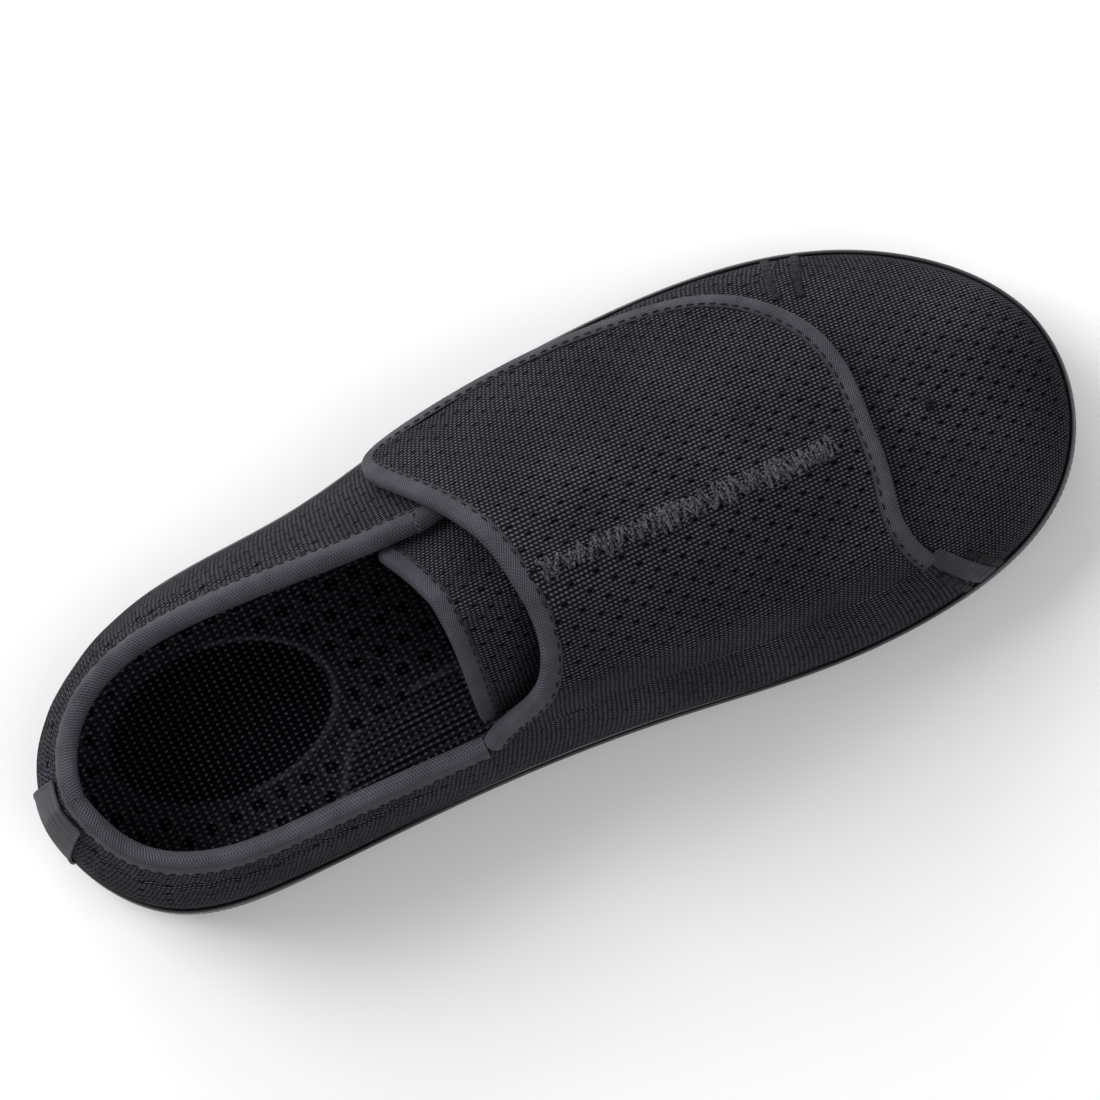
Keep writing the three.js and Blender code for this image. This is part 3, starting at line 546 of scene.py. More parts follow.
finishes = {
    "knit": knitFinish(),
    "tape": tapeFinish(),
    "thread": threadFinish("sewingThread", (0.016, 0.0155, 0.02)),
    "cord": threadFinish("seamCord", (0.085, 0.083, 0.1)),
    "rubber": rubberFinish("soleRubber", (0.016, 0.016, 0.018, 1), 0.42, 900.0, 0.05),
    "rim": rubberFinish("rimRubber", (0.05, 0.05, 0.057, 1), 0.3, 1500.0, 0.25),
    "insole": insoleFinish(),
}
for key, name, dark, light, scale, relief, roughness in (
    ("lining", "brushedLining", (0.003, 0.003, 0.004), (0.014, 0.014, 0.018), 1500.0, 0.0004, 0.95),
    ("foam", "openFoam", (0.02, 0.02, 0.022), (0.05, 0.05, 0.054), 1100.0, 0.0005, 0.95),
    ("board", "fibreBoard", (0.22, 0.17, 0.11), (0.34, 0.27, 0.19), 300.0, 0.0002, 0.85),
    ("stiffener", "stiffenerSheet", (0.35, 0.32, 0.26), (0.45, 0.42, 0.34), 220.0, 0.0001, 0.6),
    ("gel", "gelPad", (0.05, 0.07, 0.1), (0.07, 0.1, 0.14), 80.0, 0.0001, 0.35),
    ("loop", "loopPile", (0.006, 0.006, 0.007), (0.035, 0.035, 0.04), 2400.0, 0.0009, 1.0),
    ("hook", "hookNylon", (0.008, 0.008, 0.009), (0.02, 0.02, 0.022), 900.0, 0.0002, 0.55),
):
    finishes[key] = grainFinish(name, dark, light, scale, relief, roughness)
print("stage:", len(finishes), "finishes made")


# Gives a new piece its finish and its body, and hides the CAD nodes it stands for.
def settle(piece, finish, nodes=(), body="shoe"):
    piece.data.materials.clear()
    piece.data.materials.append(finishes[finish])
    if body:
        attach(piece, body)
    if nodes:
        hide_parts(*nodes)
    return piece


panels = {
    "meshThick": 1.2,
    "layerGap": 0.4,
    "foamThick": 1.4,
    "liningThick": 0.6,
    "vampLiningTop": -2.7,
    "seamGap": 0.0017,
    "seamStep": 0.0032,
    "padFrom": 0.16,
    "padDrop": 0.035,
    "padDepth": 2.4,
    "outerSeam": 0.822,
    "innerSeam": 0.785,
    "throatEnd": 0.71,
    "throatTurn": 0.49,
    "throatHeight": 0.66,
    "hingeRear": 0.455,
    "collarEnd": 0.695,
    "start": 0.012,
    "collarOuter": [0.472, 0.464, 0.432, 0.4, 0.41, 0.45, 0.49, 0.535, 0.6, 0.655],
    "collarInner": [0.472, 0.46, 0.424, 0.405, 0.39, 0.365, 0.36, 0.372, 0.365, 0.37],
    "rootHeight": [0.37, 0.4, 0.425, 0.435, 0.43, 0.42],
}
liningTop = -(panels["meshThick"] + 2 * panels["layerGap"] + panels["foamThick"])
stackDepth = -liningTop + panels["liningThick"]
hinge, seam = panels["hingeRear"], panels["innerSeam"]


# Height s of the quarters' upper edge at t: collar, then throat on the outer side and flap root on the
# inner one.
def quarterTop(t):
    t = np.asarray(t, float)
    u = 2 * np.abs(t)
    turn = panels["throatTurn"]
    collarOuter = curve(panels["collarOuter"], u / turn)
    collarInner = curve(panels["collarInner"], u / hinge)
    root = curve(panels["rootHeight"], (u - hinge) / (seam - hinge))
    outer = np.where(u < turn, collarOuter, panels["throatHeight"])
    return np.where(t >= 0, outer, np.where(u < hinge, collarInner, root))


def outerFront(b):
    return panels["outerSeam"] + (panels["throatEnd"] - panels["outerSeam"]) * ease(0.3, 1, b)


# Wrinkles of a quarter: a stitched furrow under the collar tape with puckers across it, lower quilting rows
# round the heel, and slow waves that die out at every edge. One unit of s is about 95 mm here.
def quarterRelief(t, s, top, run):
    below = (top - s) * 95
    collar = 1 - ease(0.38, 0.46, 2 * np.abs(t))
    heel = 1 - ease(0.16, 0.3, 2 * np.abs(t))
    furrow = -0.75 * np.exp(-(((below - 9 - 0.5 * np.sin(run / 21)) / 1.1) ** 2)) * collar
    for depth in (14, 18.5, 23):
        furrow = furrow - 0.4 * np.exp(-(((below - depth) / 0.9) ** 2)) * heel
    pucker = 0.3 * np.sin(run / 1.4 + 1.4 * np.sin(run / 13)) * np.exp(-(((below - 8) / 4) ** 2)) * collar
    inside = ease(0, 0.12, s) * ease(0, 9, below)
    waves = softNoise(run, s * 90, 34, 1.3)
    return furrow + pucker + 0.3 * waves * inside


# Grid of a quarter from u = rear to u = front, or to the outer front seam; side is 1 outer and -1 inner.
def quarterGrid(side, rows, columns, rear=0.0, front=None):
    a, b = unitGrid(rows, columns)
    front = outerFront(b) if front is None else front
    t = side * np.maximum(rear + a * (front - rear), 1e-5) / 2
    top = quarterTop(t)
    s = panels["start"] + b * (top - panels["start"])
    return t, s, top


def makeQuarter(name, side, rows, rear=0.0, front=None):
    t, s, top = quarterGrid(side, rows, 90, rear, front)
    uv = roundUv(t, s)
    relief = quarterRelief(t, s, top, uv[..., 0] * 1000)
    outer = roundChart(t, s, relief)
    inner = roundChart(t, s, relief * 0.5 - panels["meshThick"])
    return slab(name + "Knit", outer, inner, uv)


# Inner face of the upper round the heel and sides: the lining, plumped by the collar's foam.
def makeQuarterLining(name, side, rows, rear=0.0, front=None):
    t, s, top = quarterGrid(side, rows, 60, rear, front)
    uv = roundUv(t, s)
    run = uv[..., 0] * 1000
    height = np.clip((s - panels["padFrom"]) / (top - panels["padFrom"] - panels["padDrop"]), 0, 1)
    pad = np.sin(np.pi * height) * (1 - ease(0.36, 0.52, 2 * np.abs(t)))
    inward = panels["padDepth"] * pad**0.8 * (1 + 0.12 * np.sin(run / 4.5 + np.sin(run / 17)))
    inner = roundChart(t, s, -stackDepth - inward)
    outer = roundChart(t, s, liningTop - inward * 0.6)
    return slab(name + "Lining", outer, inner, uv)


# The vamp's rear edge: behind the outer quarter's seam, then the throat, then the inner seam, which steps
# forward round the flap's root.
def vampRear(q):
    b = np.minimum((2 - 2 * q) / panels["throatHeight"], 1)
    side = seam + panels["seamGap"] + panels["seamStep"] * ease(0.165, 0.19, q)
    inner = side + (panels["throatEnd"] + panels["seamGap"] - side) * ease(0.36, 0.46, q)
    return np.where(q > 0.5, outerFront(b) + 0.0006, inner - 0.0012 * (q < 0.165))


def vampGrid(rows, columns):
    a, b = unitGrid(rows, columns)
    q = panels["start"] / 2 + b * (1 - panels["start"])
    rear = vampRear(q)
    return rear + (1 - rear) * (1 - (1 - a) ** 1.2), q


def makeVamp():
    p, q = vampGrid(130, 241)
    fromSole = np.minimum(q, 1 - q)
    relief = 0.35 * acrossNoise(p, q, 31, 0.4) * ease(0, 0.08, fromSole) * (1 - ease(0.93, 1, p))
    relief -= 0.5 * np.exp(-((fromSole / 0.012) ** 2))
    return acrossLayer("vampKnit", p, q, relief, relief - panels["meshThick"])


# Evens out the point where the girth lines meet at the front end of the ridge.
def easePole(piece, middle, reach, rounds):
    grid = bmesh.new()
    grid.from_mesh(piece.data)
    near = [v for v in grid.verts if (v.co - Vector(middle)).length < reach]
    axes = {"use_axis_x": True, "use_axis_y": True, "use_axis_z": True}
    for _ in range(rounds):
        bmesh.ops.smooth_vert(grid, verts=near, factor=0.5, **axes)
    grid.to_mesh(piece.data)
    grid.free()
    return piece


# The inner quarter is in two lengths; the one below the flap's root is left off the shoe's body, as the flap
# is, and has its transform baked.
settle(makeQuarter("quarterOuter", 1, 300), "knit", ["quarter_outer_mesh"])
settle(makeQuarter("heelInner", -1, 170, 0.0, hinge), "knit")
rootKnit = makeQuarter("rootInner", -1, 130, hinge, seam)
settle(rootKnit, "knit", ["quarter_inner_mesh"], None)
settle(makeQuarterLining("quarterOuter", 1, 160), "lining", ["quarter_outer_lining"])
settle(makeQuarterLining("heelInner", -1, 90, 0.0, hinge), "lining")
rootLining = makeQuarterLining("rootInner", -1, 70, hinge, seam)
settle(rootLining, "lining", ["quarter_inner_lining"], None)
ridgeEnd = tuple(acrossChart(np.array(1.0), np.array(0.5), 0.0) * 0.001)
settle(easePole(makeVamp(), ridgeEnd, 0.011, 30), "knit", ["vamp_mesh"])
top = panels["vampLiningTop"]
vampLining = acrossLayer("vampLining", *vampGrid(50, 101), top, top - panels["liningThick"])
settle(vampLining, "lining", ["vamp_lining"])
print("stage: quarters and vamp made")

flap = {
    "stack": 3.4,
    "lift": 2.5,
    "outline": [
        (0.455, 0.185), (0.481, 0.25), (0.508, 0.306), (0.52, 0.369), (0.523, 0.431), (0.52, 0.5),
        (0.518, 0.562), (0.51, 0.625), (0.5, 0.69), (0.491, 0.75), (0.489, 0.8), (0.503, 0.83),
        (0.535, 0.835), (0.575, 0.83), (0.615, 0.827), (0.655, 0.823), (0.692, 0.812), (0.724, 0.803),
        (0.755, 0.788), (0.783, 0.757), (0.805, 0.72), (0.828, 0.68), (0.847, 0.63), (0.856, 0.58),
        (0.858, 0.53), (0.85, 0.463), (0.828, 0.4), (0.798, 0.344), (0.787, 0.281), (0.785, 0.21),
    ],
    "rearShare": 11 / 29,
    "frontShare": 19 / 29,
    "seamFrom": 0.537,
    "seamTo": 0.797,
    "seamAt": 0.48,
    "seamRise": 0.75,
}


def flapEdge(w):
    return openSpline(flap["outline"], w)


# Height of the flap's layers above the last: flush at its root, then over the vamp and the outer quarter.
def flapBase(q):
    return -flap["stack"] + (flap["lift"] + flap["stack"]) * ease(0.2, 0.315, q)


# Coons patch: chart coordinates inside four edge curves that share their corners. The two ruled surfaces
# between opposite edges are added, and the bilinear surface of the corners, counted twice, is taken off.
def coonsPatch(a, b, start, end, left, right):
    zero, one = np.zeros(1), np.ones(1)
    a1, b1 = a[..., None], b[..., None]
    edges = (1 - b1) * start(a) + b1 * end(a) + (1 - a1) * left(b) + a1 * right(b)
    corners = (1 - a1) * (1 - b1) * start(zero) + a1 * (1 - b1) * start(one)
    patch = edges - corners - (1 - a1) * b1 * end(zero) - a1 * b1 * end(one)
    return patch[..., 0], patch[..., 1]


def flapRoot(a):
    u = hinge + a * (seam - hinge)
    return np.stack([u, quarterTop(-u / 2) / 2], -1)


def flapGrid(rows, columns):
    a, b = unitGrid(rows, columns)
    rear, front = flap["rearShare"], flap["frontShare"]
    spans = (rear, front), (0, rear), (1, front)
    tip, rearEdge, frontEdge = (lambda x, s=s: flapEdge(s[0] + x * (s[1] - s[0])) for s in spans)
    return coonsPatch(a, b, flapRoot, tip, rearEdge, frontEdge)


# A low ridge under the zigzag seam, and slow waves clear of the root.
def flapRelief(p, q):
    start, end = flap["seamFrom"], flap["seamTo"]
    along = ease(start - 0.02, start, p) * (1 - ease(end, 0.82, p))
    seam = flap["seamRise"] * np.exp(-(((q - flap["seamAt"]) * acrossSize[1] / 3.2) ** 2)) * along
    return seam + 0.4 * acrossNoise(p, q, 37, 2.2) * ease(0.22, 0.3, q)


def makeFlap():
    p, q = flapGrid(238, 205)
    top = flapBase(q) + flap["stack"] + flapRelief(p, q)
    return acrossLayer("flapKnit", p, q, top, top - panels["meshThick"])


def makeFlapLining():
    p, q = flapGrid(90, 80)
    return acrossLayer("flapLining", p, q, flapBase(q) + panels["liningThick"], flapBase(q))


def bendAtRoot(piece):
    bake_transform(piece)


flapKnit = settle(makeFlap(), "knit", ["flap_mesh"], None)
flapLining = settle(makeFlapLining(), "lining", ["flap_lining"], None)
for piece in (rootKnit, flapKnit, flapLining, rootLining):
    bendAtRoot(piece)
print("stage: flap made")

tape = {
    "width": 4.3,
    "under": 3.6,
    "proud": 0.55,
    "reach": 1.05,
    "stitchInset": 3.3,
    "stitchPitch": 3.1,
    "stitchLength": 2.2,
    "stitchRadius": 0.27,
}


# Frames along an edge on a chart: place, direction along it, direction onto the panel, the panel's normal and
# the length run so far.
def edgeFrames(chart, p, q, depth, towardP, towardQ):
    place = chart(p, q, depth)
    along = unit(np.gradient(place, axis=0))
    e = 1e-3
    normal = unit(np.cross(chart(p + e, q, depth) - place, chart(p, q + e, depth) - place))
    aim = chart(p + (towardP - p) * 0.02, q + (towardQ - q) * 0.02, depth) - place
    onto = unit(np.cross(normal, along))
    onto *= np.sign((onto * aim).sum(-1, keepdims=True))
    core = np.array([0.0, 0.0, 30.0]) + place * np.array([0.8, 0, 0])
    normal *= np.sign((normal * (place - core)).sum(-1, keepdims=True))
    return place, along, onto, normal, runAlong(place)


# Section of a folded tape round an edge: in along the top, round the edge and back under, and then inside the
# stack of layers. Its second result says how far each point follows the stack's top and not its bottom.
def tapeSection():
    wide, under = tape["width"], tape["under"]
    bend = np.linspace(np.pi / 2, -np.pi / 2, 10)
    outer = np.stack([-tape["reach"] * np.cos(bend) ** 0.8, tape["proud"] * np.sin(bend)], -1)
    topLine = np.array([[wide, 0.12], [wide * 0.86, 0.42], [wide * 0.5, 0.68]])
    underLine = np.array([[under * 0.5, -0.62], [under * 0.9, -0.4], [under, -0.1]])
    inside = np.array([[under, 0.02], [0.2, 0.04], [0.2, -0.04], [wide, -0.04]])
    upper = np.concatenate([np.ones(3), np.linspace(1, 0, 10), np.zeros(3), [0, 0, 1, 1]])
    return np.concatenate([topLine, outer, underLine, inside]), upper


# Folded tape along an edge, with fine puckers where its stitches run.
def makeTape(name, frames, low, high, pucker):
    place, along, onto, normal, run = frames
    low, high = np.broadcast_to(low, run.shape), np.broadcast_to(high, run.shape)
    base, upper = tapeSection()
    ripple = pucker * np.sin(run / 1.15 + 1.3 * np.sin(run / 7)) * (0.6 + 0.4 * np.sin(run / 23))
    inward = base[None, :, 0] * (1 + 0.03 * np.sin(run / 9)[:, None])
    stitched = np.exp(-(((base[:, 0] - tape["stitchInset"]) / 0.7) ** 2)) * upper
    height = low[:, None] + (high - low)[:, None] * upper + base[None, :, 1]
    height = height + (ripple[:, None] - 0.25) * stitched
    sections = place[:, None] + onto[:, None] * inward[..., None] + normal[:, None] * height[..., None]
    uv = np.stack(np.broadcast_arrays(run[:, None], runAlong(base)[None]), -1)
    return band(name, sections, uv * 0.001)


# Stitches laid along a tape: short rounded threads of seven rings of six points, sunk at both ends.
def makeStitches(name, frames, height):
    place, along, onto, normal, run = frames
    count = int(run[-1] / tape["stitchPitch"])
    at = (np.arange(count) + 0.5) * tape["stitchPitch"]

    def pick(v):
        return np.stack([np.interp(at, run, v[:, k]) for k in range(3)], -1)[:, None, None]

    high = np.interp(at, run, np.broadcast_to(height, run.shape))[:, None, None, None]
    x, turn = np.linspace(-1, 1, 7), np.linspace(0, 2 * np.pi, 7)[:-1]
    girth = (np.sqrt(np.clip(1 - x**4, 0.02, 1)) * tape["stitchRadius"])[:, None]
    sag = (-0.9 * x**4 * tape["stitchRadius"])[:, None]
    vertices = pick(place) + unit(pick(along)) * (x * tape["stitchLength"] / 2)[:, None, None]
    vertices = vertices + unit(pick(onto)) * (tape["stitchInset"] + girth * np.cos(turn))[..., None]
    vertices = vertices + unit(pick(normal)) * (high + (girth * np.sin(turn) + sag)[..., None])
    caps = np.array([[0, 5, 4, 3], [0, 3, 2, 1], [36, 37, 38, 39], [36, 39, 40, 41]])
    one = np.concatenate([gridQuads(7, 6, 0, False, True), caps])
    every = one[None] + (np.arange(count) * 42)[:, None, None]
    return meshFromQuads(name, vertices.reshape(-1, 3), every.reshape(-1, 4))


# Tape and stitches along one edge. They ride on a body, or have their transform baked where body is None.
def trimEdge(name, frames, low, high, pucker, lift, body, node):
    trim = makeTape(name + "Tape", frames, low, high, pucker)
    stitches = makeStitches(name + "Stitches", frames, high + lift)
    settle(trim, "tape", [node], body)
    settle(stitches, "thread", (), body)
    if body is None:
        bendAtRoot(trim)
        bendAtRoot(stitches)


def trimCollar():
    end = panels["collarEnd"] / 2
    t = end - np.linspace(0, 1, 900) * (end + hinge / 2 - 0.0002)
    s = quarterTop(t)
    frames = edgeFrames(roundChart, t, s, 0.0, t, s - 0.2)
    trimEdge("collar", frames, -stackDepth, 0.0, 0.16, 0.42, "shoe", "collar_binding")


def trimFlap():
    p, q = flapEdge(np.linspace(0.002, 0.998, 900)).T
    low = flapBase(q)
    frames = edgeFrames(acrossChart, p, q, 0.0, np.full_like(p, 0.66), np.full_like(q, 0.5))
    trimEdge("flap", frames, low, low + flap["stack"], 0.12, 0.45, None, "flap_binding")


trimCollar()
trimFlap()
print("stage: tapes and stitches made")

tongue = {
    "top": -6.5,
    "stack": 3.4,
    "fullness": 0.5,
    "front": ((0.69, 0.25), (0.69, 0.66)),
    "rear": [
        (0.461, 0.205), (0.462, 0.27), (0.465, 0.36), (0.467, 0.45), (0.467, 0.54), (0.463, 0.62),
        (0.458, 0.697),
    ],
}


def straight(start, end):
    return lambda x: np.asarray(start) + x[..., None] * (np.asarray(end) - start)


def tongueGrid(rows, columns):
    a, b = unitGrid(rows, columns)
    rear, front = tongue["rear"], tongue["front"]
    inner, outer = straight(rear[0], front[0]), straight(rear[-1], front[1])
    return coonsPatch(a, b, inner, outer, lambda x: openSpline(rear, x), straight(*front))


# The tongue: knit above, lining below, a little fuller in the middle.
def makeTongue():
    p, q = tongueGrid(110, 100)
    along, across = np.clip((p - 0.47) / 0.22, 0, 1), np.clip((q - 0.22) / 0.43, 0, 1)
    full = tongue["fullness"] * np.sin(np.pi * along) * np.sin(np.pi * across)
    top = tongue["top"] + full + 0.2 * acrossNoise(p, q, 17, 3.0)
    under = tongue["top"] - tongue["stack"]
    knitted = acrossLayer("tongueKnit", p, q, top, top - panels["meshThick"])
    return knitted, acrossLayer("tongueLining", p, q, under + panels["liningThick"], under - full)


def trimTongue():
    p, q = openSpline(tongue["rear"], np.linspace(0, 1, 260)).T
    frames = edgeFrames(acrossChart, p, q, tongue["top"], np.full_like(p, 0.66), np.full_like(q, 0.45))
    trimEdge("tongue", frames, -tongue["stack"], 0.0, 0.1, 0.4, "tongue", "tongue_binding")


tongueKnit, tongueLining = makeTongue()
settle(tongueKnit, "knit", ["tongue_mesh"], "tongue")
settle(tongueLining, "lining", ["tongue_lining"], "tongue")
trimTongue()
print("stage: tongue made")

zigzag = {"halfWidth": 2.3, "pitch": 1.2, "radius": 0.42}


# Raised zigzag seam along the flap: bulky threads that cross a band from side to side, a little unevenly.
def makeZigzag(name, phase, seed):
    p = np.linspace(flap["seamFrom"], flap["seamTo"], 2200)
    run = (p - p[0]) * last["length"]
    beat = run + 0.9 * np.sin(run / 5.3 + seed) + 0.35 * np.sin(run / 1.9 + 2 * seed)
    beat = beat / zigzag["pitch"] + phase
    saw = np.abs(2 * (beat / 2 - np.floor(beat / 2 + 0.5))) * 2 - 1
    side = zigzag["halfWidth"] * saw * (1 + 0.25 * np.sin(run / 2.3 + seed))
    q = flap["seamAt"] + (side + 0.5 * np.sin(run / 4.1 + 2 * seed)) / acrossSize[1]
    lift = 0.3 * np.abs(np.sin(beat * np.pi + seed)) + 0.3 * np.sin(run / 0.8 + seed)
    height = flap["lift"] + flap["stack"] + flapRelief(p, q) + 0.05 + lift
    path = acrossChart(p + 0.002 * np.sin(run / 1.1 + seed), q, height)
    normal = unit(path - acrossChart(p, q, 0.0))
    across = unit(np.cross(normal, unit(np.gradient(path, axis=0))))
    turn = np.linspace(0, 2 * np.pi, 9)[None, :-1, None]
    radius = zigzag["radius"] * (1 + 0.35 * np.sin(run / 0.5 + 3 * seed))[:, None, None]
    ring = across[:, None] * np.cos(turn) + normal[:, None] * np.sin(turn)
    return band(name, path[:, None] + radius * ring)


settle(makeZigzag("zigzagFirst", 0.0, 0.7), "cord", ["flap_zigzag_seam"], "flap")
settle(makeZigzag("zigzagSecond", 1.0, 2.1), "cord", (), "flap")
print("stage: zigzag seam made")

sole = {
    "ribPitch": 1.7,
    "ribDepth": 0.22,
    "treadThick": 4.0,
    "treadEdge": (1.1, 1.98),
    "grooveDepth": 1.7,
    "groovePitch": 10,
    "rimOut": 1.1,
    "rimHeight": 18.15,
    "rimHalf": (0.58, 1.25),
    "wall": [
        (1.75, 4.35), (2.0, 4.7), (2.12, 5.6), (2.15, 6.6), (1.85, 7.0), (1.85, 7.3), (2.2, 7.7),
        (2.28, 9.0), (2.28, 10.5), (2.26, 12.0), (2.2, 13.3), (1.9, 13.8), (1.88, 14.1), (2.1, 14.5),
        (2.05, 15.6), (1.8, 16.3), (1.3, 16.68), (0.4, 16.7), (-3.0, 16.7), (-3.0, 10.0), (-3.0, 4.35),
    ],
}


# How far the sole's side stands out at t, as a share of its full width: less under the inner arch.
def soleShare(t):
    u = alongShoe(t)
    return np.where(np.mod(t, 1) > 0.5, curve(last["soleInner"], u), 1.0)


# Ring round the sole at distances out of the feather line and heights above the ground.
def soleRing(t, out, height):
    foot, way = featherLine(t)
    share = np.where(out > 0, soleShare(t), 1.0)
    place = foot + way * (out * share)[..., None]
    place[..., 2] = height + toeLift(alongShoe(t))
    return place


# Side wall of the sole: a closed section carried round, with fine upright ribs on its middle.
def makeSoleWall():
    section = np.array(sole["wall"])
    t = np.arange(2400) / 2400
    rib = np.clip(np.sin(runAlong(featherLine(t)[0]) * 2 * np.pi / sole["ribPitch"]) * 1.6, -1, 1)
    aside, high = section.T
    where = ease(7.4, 8.2, high) * (1 - ease(13.0, 13.6, high)) * (aside > 0)
    out = aside + sole["ribDepth"] * (rib[:, None] - 1) * 0.5 * where
    return band("soleWall", soleRing(*np.broadcast_arrays(t[:, None], out, high)), loop=True)


# Bright rounded lip where the sole meets the upper.
def makeRim():
    t = np.arange(900) / 900
    foot, way = featherLine(t)
    turn = np.linspace(0, 2 * np.pi, 13)[:-1]
    lean = lastPoint(t, 0.08) - foot
    slope = np.maximum((lean * way).sum(-1) / lean[:, 2], 0)
    high = sole["rimHeight"] + sole["rimHalf"][1] * np.sin(turn)
    above = high - last["featherHeight"]
    out = sole["rimOut"] + sole["rimHalf"][0] * np.cos(turn)[None, :] + slope[:, None] * above
    place = foot[:, None] + way[:, None] * out[..., None]
    place[..., 2] = high + toeLift(alongShoe(t))[:, None]
    return band("soleRim", place, loop=True)


# Shares across the floor, closer together near the sides.
def floorShares(columns):
    return (1 - np.cos(np.pi * np.linspace(0, 1, columns)))[None] / 2


# Grid over the floor inside a ring.
def floorGrid(ring, columns):
    half = len(ring) // 2
    c = floorShares(columns)[..., None]
    first, second = ring[: half + 1, None], ring[(-np.arange(half + 1)) % len(ring), None]
    return first * (1 - c) + second * c


# Tread: wavy grooves across the sole, fading out at its border and under the arch.
def makeTread():
    count, columns = 760, 124
    t, level = np.arange(count) / count, np.zeros(count)
    bottom = floorGrid(soleRing(t, level + sole["treadEdge"][0], level), columns)
    top = floorGrid(soleRing(t, level + sole["treadEdge"][1], level + sole["treadThick"]), columns)
    x, y = bottom[..., 0], bottom[..., 1]
    wave = x + 3.2 * np.abs(((y / 15) % 2) - 1) * 2
    groove = ease(0.1, 0.95, np.cos(wave * 2 * np.pi / sole["groovePitch"]))
    c = floorShares(columns)
    width = np.linalg.norm(bottom[:, -1] - bottom[:, 0], axis=-1)[:, None]
    border = ease(4, 8, np.minimum(c, 1 - c) * width)
    border = border * ease(-144, -138, x) * (1 - ease(136, 143, x))
    arch = 1 - ease(-62, -56, x) * (1 - ease(-14, -8, x))
    bottom[..., 2] += sole["grooveDepth"] * groove * border * arch
    return slab("soleTread", bottom, top)


settle(makeSoleWall(), "rubber", ["midsole"])
settle(makeTread(), "rubber", ["outsole"])
settle(makeRim(), "rim", ["sole_rand"])
print("stage: sole made")

insole = {
    "floor": 19.4,
    "gap": 0.3,
    "thick": 5.5,
    "cover": 0.8,
    "cupRise": 9,
    "archRise": 5,
    "fit": 1.2,
    "heelOval": (-93, 6.5, 32, 20.5, -0.12),
    "dimplePitch": 7.2,
    "dimpleRadius": 2.1,
}
coverBase = insole["floor"] + insole["thick"] + insole["gap"]


# Rise of the insole's face: a cup round the heel and a roll at the arch.
def insoleRise(u, c):
    side = np.abs(2 * c - 1)
    heel = (1 - ease(0.14, 0.42, u)) * ease(0.55, 1, np.maximum(side, 1 - u / 0.07))
    arch = ease(0.2, 0.38, u) * (1 - ease(0.5, 0.66, u)) * ease(0.55, 1, c)
    return insole["cupRise"] * heel + insole["archRise"] * arch


# Relief of the insole's face in millimetres: an oval dish at the heel with a fine raised edge, round
# dimples in a band about it, a raised line that sweeps into the arch, and ribs in front of that line.
def insoleRelief(x, y):
    cx, cy, rx, ry, turn = insole["heelOval"]
    dx = (x - cx) * math.cos(turn) + (y - cy) * math.sin(turn)
    dy = (y - cy) * math.cos(turn) - (x - cx) * math.sin(turn)
    oval = np.sqrt((dx / rx) ** 2 + (dy / ry) ** 2)
    dish = -0.6 * (1 - ease(0.86, 1.0, oval)) + 0.5 * np.exp(-(((oval - 1.0) / 0.02) ** 2)) * (dx > 2)
    along = np.clip((y + 26) / 16.6, 0, 1)
    beyond = x - (-72 + 11 * along + 30 * along**12)
    swept = 0.6 * np.exp(-((beyond / 0.6) ** 2)) * (y < -9.4) * (y > -30)
    line = swept + 0.6 * np.exp(-(((y + 9.2) / 0.45) ** 2)) * (x > -44) * (x < -12)
    inArch = ease(0, 1.2, beyond) * (1 - ease(-10, -9, y))
    ribs = 0.25 * np.cos(y * 2 * np.pi / 1.9 + x * 0.1) * inArch
    pitch = insole["dimplePitch"]
    ex = (x / pitch + 0.5 * (np.floor(y / pitch) % 2)) % 1 - 0.5
    ey = (y / pitch) % 1 - 0.5
    spot = np.hypot(ex, ey) * pitch / insole["dimpleRadius"]
    outside = ease(1.08, 1.2, oval) * (1 - inArch) * (1 - ease(-20, 10, x))
    dimples = -0.55 * (1 - ease(0.6, 0.95, spot)) + 0.25 * np.exp(-(((spot - 1.08) / 0.14) ** 2))
    return dish + line + ribs + dimples * outside


# Ring of the insole at a height, clear of the lining up to the insole's top.
def insoleRing(t, height):
    foot, way = featherLine(t)
    u = alongShoe(t)
    highest = coverBase + insole["cover"] + toeLift(u) + insoleRise(u, np.zeros_like(u))
    s = np.arange(0, 0.6, 0.02)
    inner = roundChart(t[:, None], s[None], -stackDepth - insole["fit"])
    inset = -((inner - foot[:, None]) * way[:, None]).sum(-1)
    inset = np.where(inner[..., 2] < highest[:, None], inset, 0).max(-1)
    place = foot - way * inset[:, None]
    place[:, 2] = height + toeLift(u)
    return place


def makeInsoleCover():
    count, columns = 640, 120
    t = np.arange(count) / count
    base = floorGrid(insoleRing(t, coverBase), columns)
    u = np.linspace(0, 1, count // 2 + 1)[:, None]
    c = floorShares(columns)
    base[..., 2] += insoleRise(u, c)
    top = base.copy()
    border = ease(0.0, 0.03, np.minimum(c, 1 - c))
    border = border * ease(0, 0.012, u) * (1 - ease(0.988, 1, u))
    top[..., 2] += insole["cover"] + insoleRelief(base[..., 0], base[..., 1]) * border * 0.9
    base[..., 2] -= 0.25 * border
    return slab("insoleTextile", top, base, base[..., :2] * 0.001)


# Height of the embossing kept on every point, for the insole finish's painted shade in its hollows and
# painted highlight on its raised edges.
def keepRelief(piece):
    count = len(piece.data.vertices)
    place = np.empty(count * 3)
    piece.data.vertices.foreach_get("co", place)
    place = place.reshape(-1, 3) * 1000
    kept = piece.data.attributes.new("Relief", "FLOAT", "POINT")
    relief = np.clip(insoleRelief(place[:, 0], place[:, 1]), -0.3, 0.5)
    kept.data.foreach_set("value", relief.astype(np.float32))
    return piece


settle(keepRelief(makeInsoleCover()), "insole", ["insole_cover"])
print("stage: insole cover made")

tab = {"half": 26 / 4 / last["length"], "from": 0.05, "to": 0.42}


